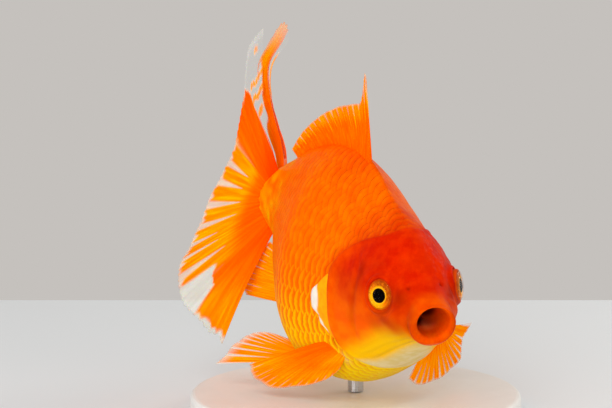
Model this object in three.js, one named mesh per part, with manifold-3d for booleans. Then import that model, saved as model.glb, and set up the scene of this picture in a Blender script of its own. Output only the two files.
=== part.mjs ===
// A fancy goldfish of the ryukin kind, swimming with its mouth open, on a plain display stand.
// Millimetres, Z up. The snout points to -Y and the fish's left is +X. The origin is the middle
// of the stand's underside. The fish is worked out straight, with its lips at y = 0 and its tail
// towards +Y, then bent and tilted into its pose.
import * as THREE from "three";
import { mergeVertices } from "three/addons/utils/BufferGeometryUtils.js";
import Module from "manifold-3d";

const wasm = await Module();
wasm.setup();

// Driving dimensions: lengths in millimetres, angles in degrees.
const BODY_LENGTH = 80; // from the lips to the root of the tail
const NECK = 10; // the body is straight this far behind the lips
const BEND = 30; // turn of the tail towards the fish's right
const NOSE_DOWN = 10;
const LEAN = 4; // the right side is the lower one
const PIVOT = 40; // the pose turns about this place behind the lips
const GAP = 0.3; // air between neighbouring pieces

const EYE = { back: 12.6, level: 4.8, radius: 4.3, right: 7.4, left: 8.0 };
const LIP_GROOVE = { back: 2.8, depth: 0.07, width: 0.8 }; // behind the lips, deepest underneath
const STALK_START = 70;
const COVER = { thickness: 1.8, half: 12.5, step: 2.5, inside: 4, rear: 40 };
const EDGE = { half: 36, step: 3 }; // levels at which the head's rear edge is cut
const RAY_ROOT = 1.5; // thickness of a fin where it leaves the body
const RAY_TIP = 0.55;
const THINNING = 1.8; // more makes a fin reach its least thickness nearer the body
const ROOT_DEPTH = 0.92; // a paired fin starts at this share of the body's section

const BASE = { radius: 42, height: 6, bevel: 1.2, foot: 0.5 };
const ROD = { radius: 2, back: 47, inside: 14 };
const BELLY_CLEARANCE = 4.5; // from the top of the base to the lowest of the belly

const AROUND = 30; // points round the body

// Sections of the straight body: distance behind the lips, top, bottom, half width, level of the
// greatest width, and how sharply the back and the keel draw in (1 is round, more is sharper).
const SECTIONS = [
  [0, 5.4, -4.9, 5.8, 0.3, 1, 1],
  [3, 7.3, -5.2, 5.9, 0.7, 1, 1],
  [7, 9.8, -7.2, 8.4, 0.9, 1, 1],
  [13, 15.4, -11.6, 10.5, 0.5, 1.05, 1],
  [20, 19.5, -17.2, 13.2, -1, 1.4, 1],
  [28, 23.3, -22.6, 15.4, -4, 1.95, 0.9],
  [38, 29.4, -28.2, 18.2, -6, 2.15, 0.9],
  [50, 30.4, -28.4, 20.6, -5, 1.55, 0.9],
  [62, 27.0, -20.5, 15.0, -1, 1.4, 0.95],
  [72, 21.0, -5.0, 7.8, 7, 1.2, 1],
  [80, 16.0, 2.5, 4.3, 9, 1, 1],
];

// The open mouth, from its depth out over the lips: distance behind the lips, share of the section,
// and how far the ring is raised, which makes the lower lip the thicker one.
const MOUTH = [
  [8.5, 0.42, 0.6],
  [4, 0.58, 0.8],
  [0.6, 0.645, 0.8],
  [-0.7, 0.74, 0.7],
  [-0.8, 0.87, 0.3],
  [-0.1, 0.98, 0],
];
const MOUTH_DEPTH = 11;
const BODY_PLACES = [
  0.9, 2, 3.1, 4.5, 6.5, 9, 12, 15.5, 19, 23, 27, 31, 35, 39, 43, 47, 51, 55, 59, 63, 67, 71, 75, 78, 80,
];
const STALK_END = [
  [81, 0.86],
  [81.8, 0.55],
];
const STALK_TIP = 82;

// The rear edge of the head, in side view: level, distance behind the lips.
const HEAD_EDGE = [
  [-36, 6],
  [-24, 14],
  [-19, 23],
  [-15, 27.5],
  [-11.5, 29.4],
  [-6.4, 30.6],
  [-2.6, 30.9],
  [0.5, 31.6],
  [3.6, 32.3],
  [6.3, 32.6],
  [8.3, 32],
  [10.1, 30.9],
  [12, 29.2],
  [13.4, 27.2],
  [14.8, 24.8],
  [16, 22],
  [17, 19.8],
  [18.5, 18.4],
  [24, 16],
  [40, 14],
];
// The front edge of the gill cover, in the same way.
const COVER_FRONT = [
  [-12.5, 24],
  [-9, 21.8],
  [0, 20.8],
  [8, 22],
  [12.5, 25.5],
];

const radians = THREE.MathUtils.degToRad;
const vector = (x, y, z) => new THREE.Vector3(x, y, z);

// A smooth curve through pairs of place and value, with slopes from the neighbours.
function smooth(place, pairs, column = 1) {
  const last = pairs.length - 1;
  const at = THREE.MathUtils.clamp(place, pairs[0][0], pairs[last][0]);
  let i = 0;
  while (i < last - 1 && at >= pairs[i + 1][0]) i += 1;
  const slope = (k) => {
    const low = Math.max(k - 1, 0);
    const high = Math.min(k + 1, last);
    return (pairs[high][column] - pairs[low][column]) / (pairs[high][0] - pairs[low][0]);
  };
  const step = pairs[i + 1][0] - pairs[i][0];
  const t = (at - pairs[i][0]) / step;
  const rise = 3 * t * t - 2 * t * t * t;
  return (
    pairs[i][column] * (1 - rise) +
    pairs[i + 1][column] * rise +
    step * (t ** 3 - 2 * t * t + t) * slope(i) +
    step * (t ** 3 - t * t) * slope(i + 1)
  );
}

// A point of the straight body; turn 0 is the left flank and turn 90 the ridge of the back.
function bodyPoint(back, turn, grow = 0, share = 1) {
  const [top, bottom, half, middle, ridge, keel] = [1, 2, 3, 4, 5, 6].map((k) => smooth(back, SECTIONS, k));
  const across = Math.cos(radians(turn));
  const up = Math.sin(radians(turn));
  const groove = LIP_GROOVE.depth * Math.exp(-(((back - LIP_GROOVE.back) / LIP_GROOVE.width) ** 2));
  const scale = share * (1 - (groove * (1 - up)) / 2);
  const sharpness = up > 0 ? ridge : keel;
  const side = Math.sign(across) * Math.abs(across) ** sharpness;
  const reach = up > 0 ? top - middle + grow : middle - bottom + grow;
  return vector((half + grow) * scale * side, back, middle + reach * scale * up);
}

// Straight body to bent body: past the neck it follows an arc to the fish's right.
function bent(p) {
  const perLength = radians(BEND) / (BODY_LENGTH - NECK);
  const radius = 1 / perLength;
  const angle = Math.max(p.y - NECK, 0) * perLength;
  const along = Math.min(p.y, NECK);
  return vector((radius + p.x) * Math.cos(angle) - radius, along + (radius + p.x) * Math.sin(angle), p.z);
}

// Directions back, left and up of the bent body at a distance behind the lips.
function directions(back) {
  const angle = (Math.max(back - NECK, 0) * radians(BEND)) / (BODY_LENGTH - NECK);
  return [
    vector(-Math.sin(angle), Math.cos(angle), 0),
    vector(Math.cos(angle), Math.sin(angle), 0),
    vector(0, 0, 1),
  ];
}

// Bent body to its swimming pose: leaned, and nose down.
function tilted(p) {
  const lean = radians(LEAN);
  const nose = radians(NOSE_DOWN);
  const x = p.x * Math.cos(lean) - p.z * Math.sin(lean);
  const y = p.y - PIVOT;
  const z = p.x * Math.sin(lean) + p.z * Math.cos(lean);
  return vector(x, y * Math.cos(nose) - z * Math.sin(nose), y * Math.sin(nose) + z * Math.cos(nose));
}

// The rod meets the belly under its middle; this sets the fish over the stand.
const bellyUnderRod = tilted(bent(bodyPoint(ROD.back, -90)));
const lowestBelly = Math.min(...[36, 38, 40, 42, 44, 46].map((back) => tilted(bent(bodyPoint(back, -90))).z));
const OVER_STAND = vector(
  -bellyUnderRod.x,
  -bellyUnderRod.y,
  BASE.height + BELLY_CLEARANCE - lowestBelly,
);
const posed = (p) => tilted(p).add(OVER_STAND);
const placed = (p) => posed(bent(p));

// A closed surface through rings of equal count, with a point at each end.
function loft(start, rings, end) {
  const points = [start, ...rings.flat(), end];
  const count = rings[0].length;
  const faces = [];
  const at = (ring, k) => 1 + ring * count + (k % count);
  for (let k = 0; k < count; k += 1) {
    faces.push([0, at(0, k), at(0, k + 1)]);
    faces.push([points.length - 1, at(rings.length - 1, k + 1), at(rings.length - 1, k)]);
    for (let ring = 0; ring < rings.length - 1; ring += 1) {
      faces.push([at(ring, k), at(ring + 1, k + 1), at(ring, k + 1)]);
      faces.push([at(ring, k), at(ring + 1, k), at(ring + 1, k + 1)]);
    }
  }
  return solidOf(points, faces);
}

// A manifold solid from points and triangles.
function solidOf(points, faces) {
  const vertProperties = new Float32Array(points.flatMap((p) => p.toArray()));
  const triVerts = new Uint32Array(faces.flat());
  return new wasm.Manifold(new wasm.Mesh({ numProp: 3, vertProperties, triVerts }));
}

// A manifold solid from a three.js geometry, and the other way round.
function solidFrom(geometry) {
  const bare = geometry.clone();
  bare.deleteAttribute("normal");
  bare.deleteAttribute("uv");
  const merged = mergeVertices(bare, 1e-4);
  return new wasm.Manifold(
    new wasm.Mesh({
      numProp: 3,
      vertProperties: new Float32Array(merged.attributes.position.array),
      triVerts: new Uint32Array(merged.index.array),
    }),
  );
}
function geometryFrom(solid, move = (p) => p) {
  const mesh = solid.getMesh();
  const positions = [];
  for (let i = 0; i < mesh.vertProperties.length; i += mesh.numProp) {
    positions.push(...move(vector(...mesh.vertProperties.slice(i, i + 3))).toArray());
  }
  const geometry = new THREE.BufferGeometry();
  geometry.setAttribute("position", new THREE.Float32BufferAttribute(positions, 3));
  geometry.setIndex([...mesh.triVerts]);
  geometry.computeVertexNormals();
  return geometry;
}

const range = (count) => Array.from({ length: count }, (_, i) => i);
const ringAt = (back, grow, share, sectionBack = back, rise = 0) =>
  range(AROUND).map((k) => {
    const p = bodyPoint(sectionBack, (360 * k) / AROUND, grow, share);
    return vector(p.x, back, p.z + rise);
  });

// The straight body: whole with its open mouth, or closed in front and grown or shrunk for cutting.
function bodySolid() {
  const middle = smooth(0, SECTIONS, 4);
  return loft(
    vector(0, MOUTH_DEPTH, middle),
    [
      ...MOUTH.map(([back, share, rise]) => ringAt(back, 0, share, 0, rise)),
      ...BODY_PLACES.map((back) => ringAt(back, 0, 1)),
      ...STALK_END.map(([back, share]) => ringAt(back, 0, share)),
    ],
    vector(0, STALK_TIP, smooth(BODY_LENGTH, SECTIONS, 4)),
  );
}
function bodyBlank(grow, move = (p) => p) {
  const front = 1 - grow;
  return loft(
    move(vector(0, front, smooth(0, SECTIONS, 4))),
    [
      ...BODY_PLACES.filter((back) => back > 1).map((back) => ringAt(back, grow, 1).map(move)),
      ...STALK_END.map(([back, share]) => ringAt(back + grow, grow, share).map(move)),
    ],
    move(vector(0, STALK_TIP + 2 * grow, smooth(BODY_LENGTH, SECTIONS, 4))),
  );
}

// A plate cut to a side-view outline (distance back, level), from one width to another.
function sidePlate(outline, from, to) {
  const shape = new THREE.Shape(outline.map(([back, level]) => new THREE.Vector2(back, level)));
  const plate = new THREE.ExtrudeGeometry(shape, { depth: to - from, bevelEnabled: false });
  plate.translate(0, 0, from);
  const [x, y, z] = [vector(1, 0, 0), vector(0, 1, 0), vector(0, 0, 1)];
  plate.applyMatrix4(new THREE.Matrix4().makeBasis(y, z, x)); // the extrusion now runs to the left
  return solidFrom(plate);
}

const HALF_SPACE = 60; // reaches well past the body on every side
const edgeLevels = range((2 * EDGE.half) / EDGE.step + 1).map((i) => -EDGE.half + EDGE.step * i);
function aheadOfEdge(shift) {
  const edge = edgeLevels.map((level) => [smooth(level, HEAD_EDGE) + shift, level]);
  const outline = [[-HALF_SPACE, -EDGE.half], ...edge, [-HALF_SPACE, EDGE.half]];
  return sidePlate(outline, -HALF_SPACE, HALF_SPACE);
}
function behindEdge(shift) {
  const edge = edgeLevels.map((level) => [smooth(level, HEAD_EDGE) + shift, level]).reverse();
  const outline = [[2 * HALF_SPACE, EDGE.half], ...edge, [2 * HALF_SPACE, -EDGE.half]];
  return sidePlate(outline, -HALF_SPACE, HALF_SPACE);
}
function slab(fromBack, toBack, fromLevel = -HALF_SPACE, toLevel = HALF_SPACE) {
  const outline = [
    [fromBack, fromLevel],
    [toBack, fromLevel],
    [toBack, toLevel],
    [fromBack, toLevel],
  ];
  return sidePlate(outline, -HALF_SPACE, HALF_SPACE);
}

// The place of one gill cover, seen from the side, grown by a margin; sign 1 is the left.
function coverPlate(sign, margin) {
  const { half, step, inside, rear } = COVER;
  const levels = range((2 * half) / step + 1).map((i) => -half + step * i);
  const front = levels.map((level) => {
    const stretched = level * (1 + margin / half);
    return [smooth(level, COVER_FRONT) - margin, stretched];
  });
  const outline = [...front, [rear, half + margin], [rear, -half - margin]].reverse();
  return sign > 0 ? sidePlate(outline, inside, HALF_SPACE) : sidePlate(outline, -HALF_SPACE, -inside);
}

function eyeball(sign, grow = 0) {
  const ball = new THREE.SphereGeometry(EYE.radius + grow, 16, 10);
  ball.translate(sign > 0 ? EYE.left : -EYE.right, EYE.back, EYE.level);
  return solidFrom(ball);
}

// Head, lips, gill covers, trunk and tail stalk, parted with thin cuts.
function fleshPieces() {
  const whole = bodySolid();
  const ahead = whole.intersect(aheadOfEdge(-GAP / 2));
  const lips = ahead.intersect(slab(-HALF_SPACE, LIP_GROOVE.back - GAP / 2));
  const corner = smooth(0, SECTIONS, 4);
  let head = ahead.intersect(slab(LIP_GROOVE.back + GAP / 2, HALF_SPACE));
  const pieces = {
    upper_lip: lips.intersect(slab(-HALF_SPACE, HALF_SPACE, corner + GAP / 2, HALF_SPACE)),
    lower_lip: lips.intersect(slab(-HALF_SPACE, HALF_SPACE, -HALF_SPACE, corner - GAP / 2)),
  };
  for (const [side, sign] of [["left", 1], ["right", -1]]) {
    const cover = head.intersect(coverPlate(sign, 0)).subtract(bodyBlank(-COVER.thickness));
    const room = coverPlate(sign, GAP).subtract(bodyBlank(-COVER.thickness - GAP));
    head = head.subtract(room).subtract(eyeball(sign, GAP));
    pieces[`gill_cover_${side}`] = cover;
  }
  const behind = whole.intersect(behindEdge(GAP / 2));
  pieces.head = head;
  pieces.trunk = behind.intersect(slab(-HALF_SPACE, STALK_START - GAP / 2));
  pieces.tail_stalk = behind.intersect(slab(STALK_START + GAP / 2, 2 * HALF_SPACE));
  return pieces;
}

// A fin's middle surface: a ray leaves root(v) at angle(v) from the first direction towards the
// second, turns by sweep(v) on its way, has length(v), and is lifted along the third direction.
function fan(fin, u, v) {
  const [first, second, third] = fin.axes(v);
  const reach = smooth(v, fin.length) * u;
  const angle = radians(smooth(v, fin.angle) + (smooth(v, fin.sweep) * u) / 2);
  return fin
    .root(v)
    .addScaledVector(first, reach * Math.cos(angle))
    .addScaledVector(second, reach * Math.sin(angle))
    .addScaledVector(third, fin.lift(reach, u, v));
}

// A fin as a closed sheet that thins from root to margin.
function finSolid(fin) {
  const [alongRay, across] = fin.grid;
  const spread = fin.spread ?? 1;
  const pointAt = (i, k) => fan(fin, i / alongRay, (k / across) ** spread);
  const small = 0.02;
  const upper = [];
  const lower = [];
  for (let i = 0; i <= alongRay; i += 1) {
    for (let k = 0; k <= across; k += 1) {
      const alongStep = pointAt(i + small, k).sub(pointAt(i - small, k));
      const acrossStep = pointAt(i, Math.min(k + small, across)).sub(pointAt(i, Math.max(k - small, 0)));
      const normal = alongStep.cross(acrossStep).normalize();
      const half = THREE.MathUtils.lerp(RAY_ROOT, RAY_TIP, Math.min(1, (THINNING * i) / alongRay)) / 2;
      upper.push(posed(pointAt(i, k).addScaledVector(normal, half)));
      lower.push(posed(pointAt(i, k).addScaledVector(normal, -half)));
    }
  }
  const row = across + 1;
  const offset = upper.length;
  const faces = [];
  const quad = (a, b, c, d) => faces.push([a, b, c], [a, c, d]);
  for (let i = 0; i < alongRay; i += 1) {
    for (let k = 0; k < across; k += 1) {
      const a = i * row + k;
      quad(a, a + row, a + row + 1, a + 1);
      quad(offset + a, offset + a + 1, offset + a + row + 1, offset + a + row);
    }
    const first = i * row;
    const last = first + across;
    quad(first, offset + first, offset + first + row, first + row);
    quad(last, last + row, offset + last + row, offset + last);
  }
  for (let k = 0; k < across; k += 1) {
    const margin = alongRay * row + k;
    quad(k, k + 1, offset + k + 1, offset + k);
    quad(margin, offset + margin, offset + margin + 1, margin + 1);
  }
  return solidOf([...upper, ...lower], faces);
}

const DORSAL = {
  start: 38.5,
  end: 69,
  grid: [5, 18],
  spread: 1.35,
  angle: [[0, 90.5], [0.05, 90], [0.08, 87], [0.13, 80], [0.35, 63], [0.6, 50], [1, 48]],
  length: [
    [0, 21.5], [0.02, 23.3], [0.05, 22.8], [0.07, 18.5], [0.09, 14.6], [0.13, 13.9], [0.2, 12.8],
    [0.35, 11.2], [0.6, 8.4], [0.8, 6.2], [1, 3.8],
  ],
  sweep: [[0, 2], [1, 4]],
  root: (v) => {
    const back = DORSAL.start + (DORSAL.end - DORSAL.start) * v;
    return bent(bodyPoint(back, 90)).add(vector(0, 0, -1.5));
  },
  axes: (v) => {
    const [back, left, up] = directions(DORSAL.start + (DORSAL.end - DORSAL.start) * v);
    return [back, up, left];
  },
  lift: (reach, u, v) => (0.4 * Math.sin(7 * v) - 1) * u * u,
};

// Half of the double tail: sign 1 is the left half. Its rays start down the end of the stalk.
function tailFin(sign, shape) {
  const [back, left, up] = directions(BODY_LENGTH);
  const end = bent(vector(0, BODY_LENGTH, 0));
  return {
    grid: [7, 22],
    ...shape,
    root: (v) =>
      end
        .clone()
        .addScaledVector(back, smooth(v, [[0, -4], [0.5, -0.5], [1, -3]]))
        .addScaledVector(left, sign * smooth(v, [[0, 1.1], [0.5, 2.6], [1, 1.6]]))
        .addScaledVector(up, smooth(v, [[0, 16.5], [0.5, 9.5], [1, 2.5]])),
    axes: (v) => {
      const splay = radians(smooth(v, shape.splay));
      const turned = (main, side, sense) =>
        main.clone().multiplyScalar(Math.cos(splay)).addScaledVector(side, sense * Math.sin(splay));
      const outwards = turned(back, left, sign);
      const normal = turned(left, back, -sign);
      return [outwards, up, normal];
    },
  };
}
const TAIL_RIGHT = {
  splay: [[0, 30], [1, 30]],
  angle: [
    [0, 75], [0.12, 72], [0.25, 60], [0.38, 25], [0.5, -12], [0.6, -27], [0.75, -34], [0.88, -48],
    [0.94, -57], [1, -62],
  ],
  length: [
    [0, 38.8], [0.03, 38.2], [0.06, 37.2], [0.09, 35.2], [0.12, 31], [0.15, 26.8], [0.18, 23.8],
    [0.3, 14.5], [0.4, 13.2], [0.5, 17], [0.6, 23], [0.72, 30.5], [0.84, 36.2], [0.9, 36.6],
    [0.94, 38], [0.97, 37], [1, 38.2],
  ],
  sweep: [[0, 20], [0.12, 8], [0.3, 4], [0.5, 0], [0.8, -4], [1, -6]],
  lift: (reach) => -0.9 * Math.sin(reach / 9),
};
const TAIL_LEFT = {
  splay: [[0, 20], [0.2, 22], [0.4, 42], [1, 44]],
  angle: [
    [0, 88], [0.07, 82], [0.14, 76], [0.25, 60], [0.38, 25], [0.5, -12], [0.6, -27], [0.75, -34], [0.88, -46],
    [1, -58],
  ],
  length: [
    [0, 36.5], [0.03, 39], [0.06, 40.3], [0.09, 39.5], [0.12, 35.5], [0.145, 25.5], [0.18, 22],
    [0.3, 15], [0.4, 13], [0.5, 16], [0.6, 22], [0.72, 28], [0.84, 33], [0.94, 33], [1, 34],
  ],
  sweep: [[0, 18], [0.08, 6], [0.3, 4], [0.5, 0], [0.8, -4], [1, -14]],
  lift: (reach, u, v) =>
    -smooth(reach, [[0, 0], [8, 0.1], [14, 1.6], [20, 3.6], [26, 4.6], [31, 4], [36, 0.6], [40, -1.6]]) *
    Math.exp(-((v / 0.5) ** 2)),
};

// A fin of a pair: rooted between two places on the flank, in the plane of two directions given as
// (back, outwards, up). sign 1 is the left one.
function pairedFin(sign, shape) {
  const [back, left, up] = directions(shape.from[0]);
  const mix = ([alongBack, outwards, upwards]) =>
    vector(0, 0, 0)
      .addScaledVector(back, alongBack)
      .addScaledVector(left, sign * outwards)
      .addScaledVector(up, upwards);
  const first = mix(shape.first).normalize();
  const second = mix(shape.second);
  second.addScaledVector(first, -second.dot(first)).normalize();
  const third = vector(0, 0, 0).crossVectors(first, second).multiplyScalar(sign);
  return {
    grid: [5, 9],
    lift: () => 0,
    ...shape,
    root: (v) => {
      const place = THREE.MathUtils.lerp(shape.from[0], shape.to[0], v);
      const turn = THREE.MathUtils.lerp(shape.from[1], shape.to[1], v);
      const onSkin = bodyPoint(place, sign > 0 ? turn : 180 - turn);
      return bent(vector(ROOT_DEPTH * onSkin.x, place, ROOT_DEPTH * onSkin.z));
    },
    axes: () => [first, second, third],
  };
}
const PECTORAL_ROOT = { from: [30.5, -24], to: [27.5, -38] };
const PECTORAL_RIGHT = {
  ...PECTORAL_ROOT,
  first: [1, 0.75, -0.15],
  second: [0, -0.2, -1],
  angle: [[0, 17], [0.3, 24], [0.7, 36], [1, 50]],
  length: [[0, 29], [0.2, 30], [0.4, 28.5], [0.6, 23], [0.8, 16], [0.92, 11.5], [1, 7]],
  sweep: [[0, 4], [1, 8]],
};
const PECTORAL_LEFT = {
  ...PECTORAL_ROOT,
  first: [0.5, 1, 0.3],
  second: [0, -0.3, -1],
  angle: [[0, 51], [0.06, 54], [0.12, 57], [0.3, 65], [0.5, 76], [0.7, 97], [0.85, 120], [1, 150]],
  length: [[0, 18.3], [0.06, 17.3], [0.12, 18.5], [0.3, 20.5], [0.5, 18.5], [0.7, 15.5], [1, 13]],
  sweep: [[0, -28], [0.06, -8], [1, 4]],
};
const PELVIC = {
  from: [46, -58],
  to: [50, -64],
  first: [1, 0.7, -0.1],
  second: [0, -0.1, 1],
  angle: [[0, -4], [0.2, 5], [0.4, 12], [0.7, 20], [1, 26]],
  length: [[0, 30], [0.1, 27], [0.4, 22], [0.6, 19], [0.8, 15], [1, 9]],
  sweep: [[0, -2], [1, 4]],
};
const ANAL = {
  from: [64, -80],
  to: [71, -70],
  first: [1, 0.12, -0.5],
  second: [0.5, 0, 1],
  angle: [[0, 18], [0.5, 24], [0.8, 36], [1, 50]],
  length: [[0, 24], [0.25, 23], [0.5, 18.5], [0.75, 13.5], [1, 8]],
  sweep: [[0, 4], [1, 4]],
};

const ANAL_LEFT = { ...ANAL, first: [1, -0.05, -0.55] };

function finPieces() {
  const fins = {
    dorsal_fin: DORSAL,
    tail_fin_right: tailFin(-1, TAIL_RIGHT),
    tail_fin_left: tailFin(1, TAIL_LEFT),
    pectoral_fin_right: pairedFin(-1, PECTORAL_RIGHT),
    pectoral_fin_left: pairedFin(1, PECTORAL_LEFT),
    pelvic_fin_right: pairedFin(-1, PELVIC),
    pelvic_fin_left: pairedFin(1, PELVIC),
    anal_fin_right: pairedFin(-1, ANAL),
    anal_fin_left: pairedFin(1, ANAL_LEFT),
  };
  const clearOfBody = bodyBlank(GAP, placed);
  const pieces = Object.entries(fins).map(([name, fin]) => [name, finSolid(fin).subtract(clearOfBody)]);
  return Object.fromEntries(pieces);
}

// The stand: a round plate with a softened rim, and a rod up to the belly.
function standBase() {
  const { radius, height, bevel, foot } = BASE;
  const rim = range(4).map((i) => {
    const turn = radians(30 * i);
    const [out, up] = [bevel * Math.cos(turn), bevel * Math.sin(turn)];
    return new THREE.Vector2(radius - bevel + out, height - bevel + up);
  });
  const profile = [
    new THREE.Vector2(0, 0),
    new THREE.Vector2(radius - foot, 0),
    new THREE.Vector2(radius, foot),
    ...rim,
    new THREE.Vector2(0, height),
  ];
  const geometry = new THREE.LatheGeometry(profile, 48);
  geometry.rotateX(Math.PI / 2);
  return geometry;
}
function standRod() {
  const length = BELLY_CLEARANCE + ROD.inside;
  const rod = new THREE.CylinderGeometry(ROD.radius, ROD.radius, length, 16);
  rod.rotateX(Math.PI / 2);
  rod.translate(0, 0, BASE.height + GAP + length / 2);
  return geometryFrom(solidFrom(rod).subtract(bodyBlank(GAP, placed)));
}

const FINISHES = {
  head: ["#e8430f", 0.35],
  upper_lip: ["#ef5a14", 0.35],
  lower_lip: ["#ef5a14", 0.35],
  gill_cover_left: ["#f06a12", 0.35],
  gill_cover_right: ["#f06a12", 0.35],
  trunk: ["#ff8a1a", 0.35],
  tail_stalk: ["#ff7a14", 0.35],
  eye: ["#d9a21c", 0.15],
  fin: ["#ff9a3c", 0.4],
  stand_base: ["#e9e7e2", 0.5],
  stand_rod: ["#b9bcc0", 0.3],
};

function piece(name, geometry, finish = name) {
  const [color, roughness] = FINISHES[finish];
  const metalness = finish === "stand_rod" ? 1 : 0;
  const mesh = new THREE.Mesh(geometry, new THREE.MeshStandardMaterial({ color, roughness, metalness }));
  mesh.name = name;
  return mesh;
}

const goldfish = new THREE.Group();
for (const [name, solid] of Object.entries(fleshPieces())) {
  goldfish.add(piece(name, geometryFrom(solid, placed)));
}
for (const [side, sign] of [["left", 1], ["right", -1]]) {
  goldfish.add(piece(`eye_${side}`, geometryFrom(eyeball(sign), placed), "eye"));
}
for (const [name, solid] of Object.entries(finPieces())) {
  goldfish.add(piece(name, geometryFrom(solid), "fin"));
}
const stand = new THREE.Group();
stand.add(piece("stand_base", standBase()));
stand.add(piece("stand_rod", standRod()));
goldfish.add(stand);

export default goldfish;
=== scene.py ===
"""The looks of a ryukin goldfish on a plain display stand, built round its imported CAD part.

Shapes are worked out in millimetres on a straight body, as (left, back, up) from the lips, then
bent and tilted into the CAD part's pose. Meshes are in metres.
"""

import math

import bpy
import numpy as np
from mathutils import Matrix, Vector


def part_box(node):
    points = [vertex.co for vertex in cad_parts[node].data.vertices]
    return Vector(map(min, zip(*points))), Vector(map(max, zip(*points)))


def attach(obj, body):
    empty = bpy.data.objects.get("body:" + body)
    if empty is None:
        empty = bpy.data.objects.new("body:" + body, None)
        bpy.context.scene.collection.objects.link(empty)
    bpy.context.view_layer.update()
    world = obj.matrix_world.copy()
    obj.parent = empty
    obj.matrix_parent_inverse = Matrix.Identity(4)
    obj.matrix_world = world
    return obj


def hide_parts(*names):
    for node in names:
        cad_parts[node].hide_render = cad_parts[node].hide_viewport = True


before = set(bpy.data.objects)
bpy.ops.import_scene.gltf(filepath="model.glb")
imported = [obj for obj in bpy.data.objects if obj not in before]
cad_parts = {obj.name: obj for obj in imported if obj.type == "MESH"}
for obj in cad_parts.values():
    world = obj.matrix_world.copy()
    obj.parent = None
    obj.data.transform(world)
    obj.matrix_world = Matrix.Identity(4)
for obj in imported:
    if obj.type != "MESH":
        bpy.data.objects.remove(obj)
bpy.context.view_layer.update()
MM = 0.001

# The part's own driving dimensions, in millimetres and degrees.
BODY_LENGTH = 80.0
NECK = 10.0
BEND = 30.0
NOSE_DOWN = 10.0
LEAN = 4.0
PIVOT = 40.0
LIP_DEPTH = 2.8
ROD_BACK = 47.0
BELLY_CLEARANCE = 4.5
BASE_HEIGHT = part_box("stand_base")[1].z / MM

# Straight body: distance behind the lips, top, bottom, half width, level of the greatest width,
# and how sharply the back and the keel draw in.
SECTIONS = [
    (0, 5.4, -4.9, 5.8, 0.3, 1, 1),
    (3, 7.3, -5.2, 5.9, 0.7, 1, 1),
    (7, 9.8, -7.2, 8.4, 0.9, 1, 1),
    (13, 15.4, -11.6, 10.5, 0.5, 1.05, 1),
    (20, 19.5, -17.2, 13.2, -1, 1.4, 1),
    (28, 23.3, -22.6, 15.4, -4, 1.95, 0.9),
    (38, 29.4, -28.2, 18.2, -6, 2.15, 0.9),
    (50, 30.4, -28.4, 20.6, -5, 1.55, 0.9),
    (62, 27.0, -20.5, 15.0, -1, 1.4, 0.95),
    (72, 21.0, -5.0, 7.8, 7, 1.2, 1),
    (80, 16.0, 2.5, 4.3, 9, 1, 1),
]
# The skin's path from the bottom of the open mouth out over the lips: distance behind the lips, share
# of the section and how far the ring is raised.
MOUTH = [
    (10.4, 0.001, -0.8), (10.1, 0.18, -0.8), (8.5, 0.38, -0.6), (6, 0.52, -0.1), (4, 0.61, 0.3),
    (2, 0.67, 0.6), (0.6, 0.71, 0.8), (-0.3, 0.735, 0.8), (-0.72, 0.78, 0.65), (-0.85, 0.845, 0.45),
    (-0.75, 0.91, 0.22), (-0.1, 0.975, 0.03), (0.9, 1.0, 0),
]
STALK_END = [(80, 1.0), (81, 0.86), (81.8, 0.55), (82, 0.001)]
# The rear edge of the head, and the front edge of the gill cover: level, distance behind the lips.
HEAD_EDGE = [
    (-36, 6), (-24, 14), (-19, 23), (-15, 27.5), (-11.5, 29.4), (-6.4, 30.6), (-2.6, 30.9), (0.5, 31.6),
    (3.6, 32.3), (6.3, 32.6), (8.3, 32), (10.1, 30.9), (12, 29.2), (13.4, 27.2), (14.8, 24.8), (16, 22),
    (17, 19.8), (18.5, 18.4), (24, 16), (40, 14),
]
COVER_FRONT = [(-12.5, 24), (-9, 21.8), (0, 20.8), (8, 22), (12.5, 25.5)]
# The flap behind the gill cover, up each level: how far it reaches, and the width of its white margin.
GILL_MARGIN = [
    (-11, 0.1), (-9, 2.0), (-8.3, 2.9), (-7, 3.2), (-5.9, 3.5), (-5.3, 4.6), (-4.7, 5.5), (-3.5, 6.0),
    (-1.7, 6.0), (-0.5, 5.7), (0.3, 5.0), (1.2, 3.8), (2.4, 2.6), (4.6, 0.1),
]
GILL_WHITE = [
    (-10.3, 0), (-9, 0.8), (-8, 1.2), (-7, 0.9), (-6.3, 0.2), (-5.7, 0.7), (-4.6, 2.0), (-3.2, 2.7),
    (-1.5, 2.7), (-0.3, 2.2), (0.4, 1.4), (1.0, 0.5), (1.6, 0),
]
# How far the flap starts under the gill cover's rim.
GILL_TUCK = 1.0

# The eyes, 1 the left and -1 the right: middle of the rim as (left, back, up), which way each
# looks, and the radius of what shows.
EYE_RIMS = {1: np.array([10.1, 11.4, 5.1]), -1: np.array([-9.35, 11.75, 4.85])}
EYE_LOOKS = {1: np.array([0.87, -0.47, 0.15]), -1: np.array([-0.83, -0.52, 0.2])}
EYE_RADIUS = 3.7

COAT_DEPTH = 0.35
SCALE_ROWS = 14
COLUMN_PITCH = [(14, 1.9), (50, 1.9), (62, 1.7), (72, 1.2), (81, 0.9)]


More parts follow.
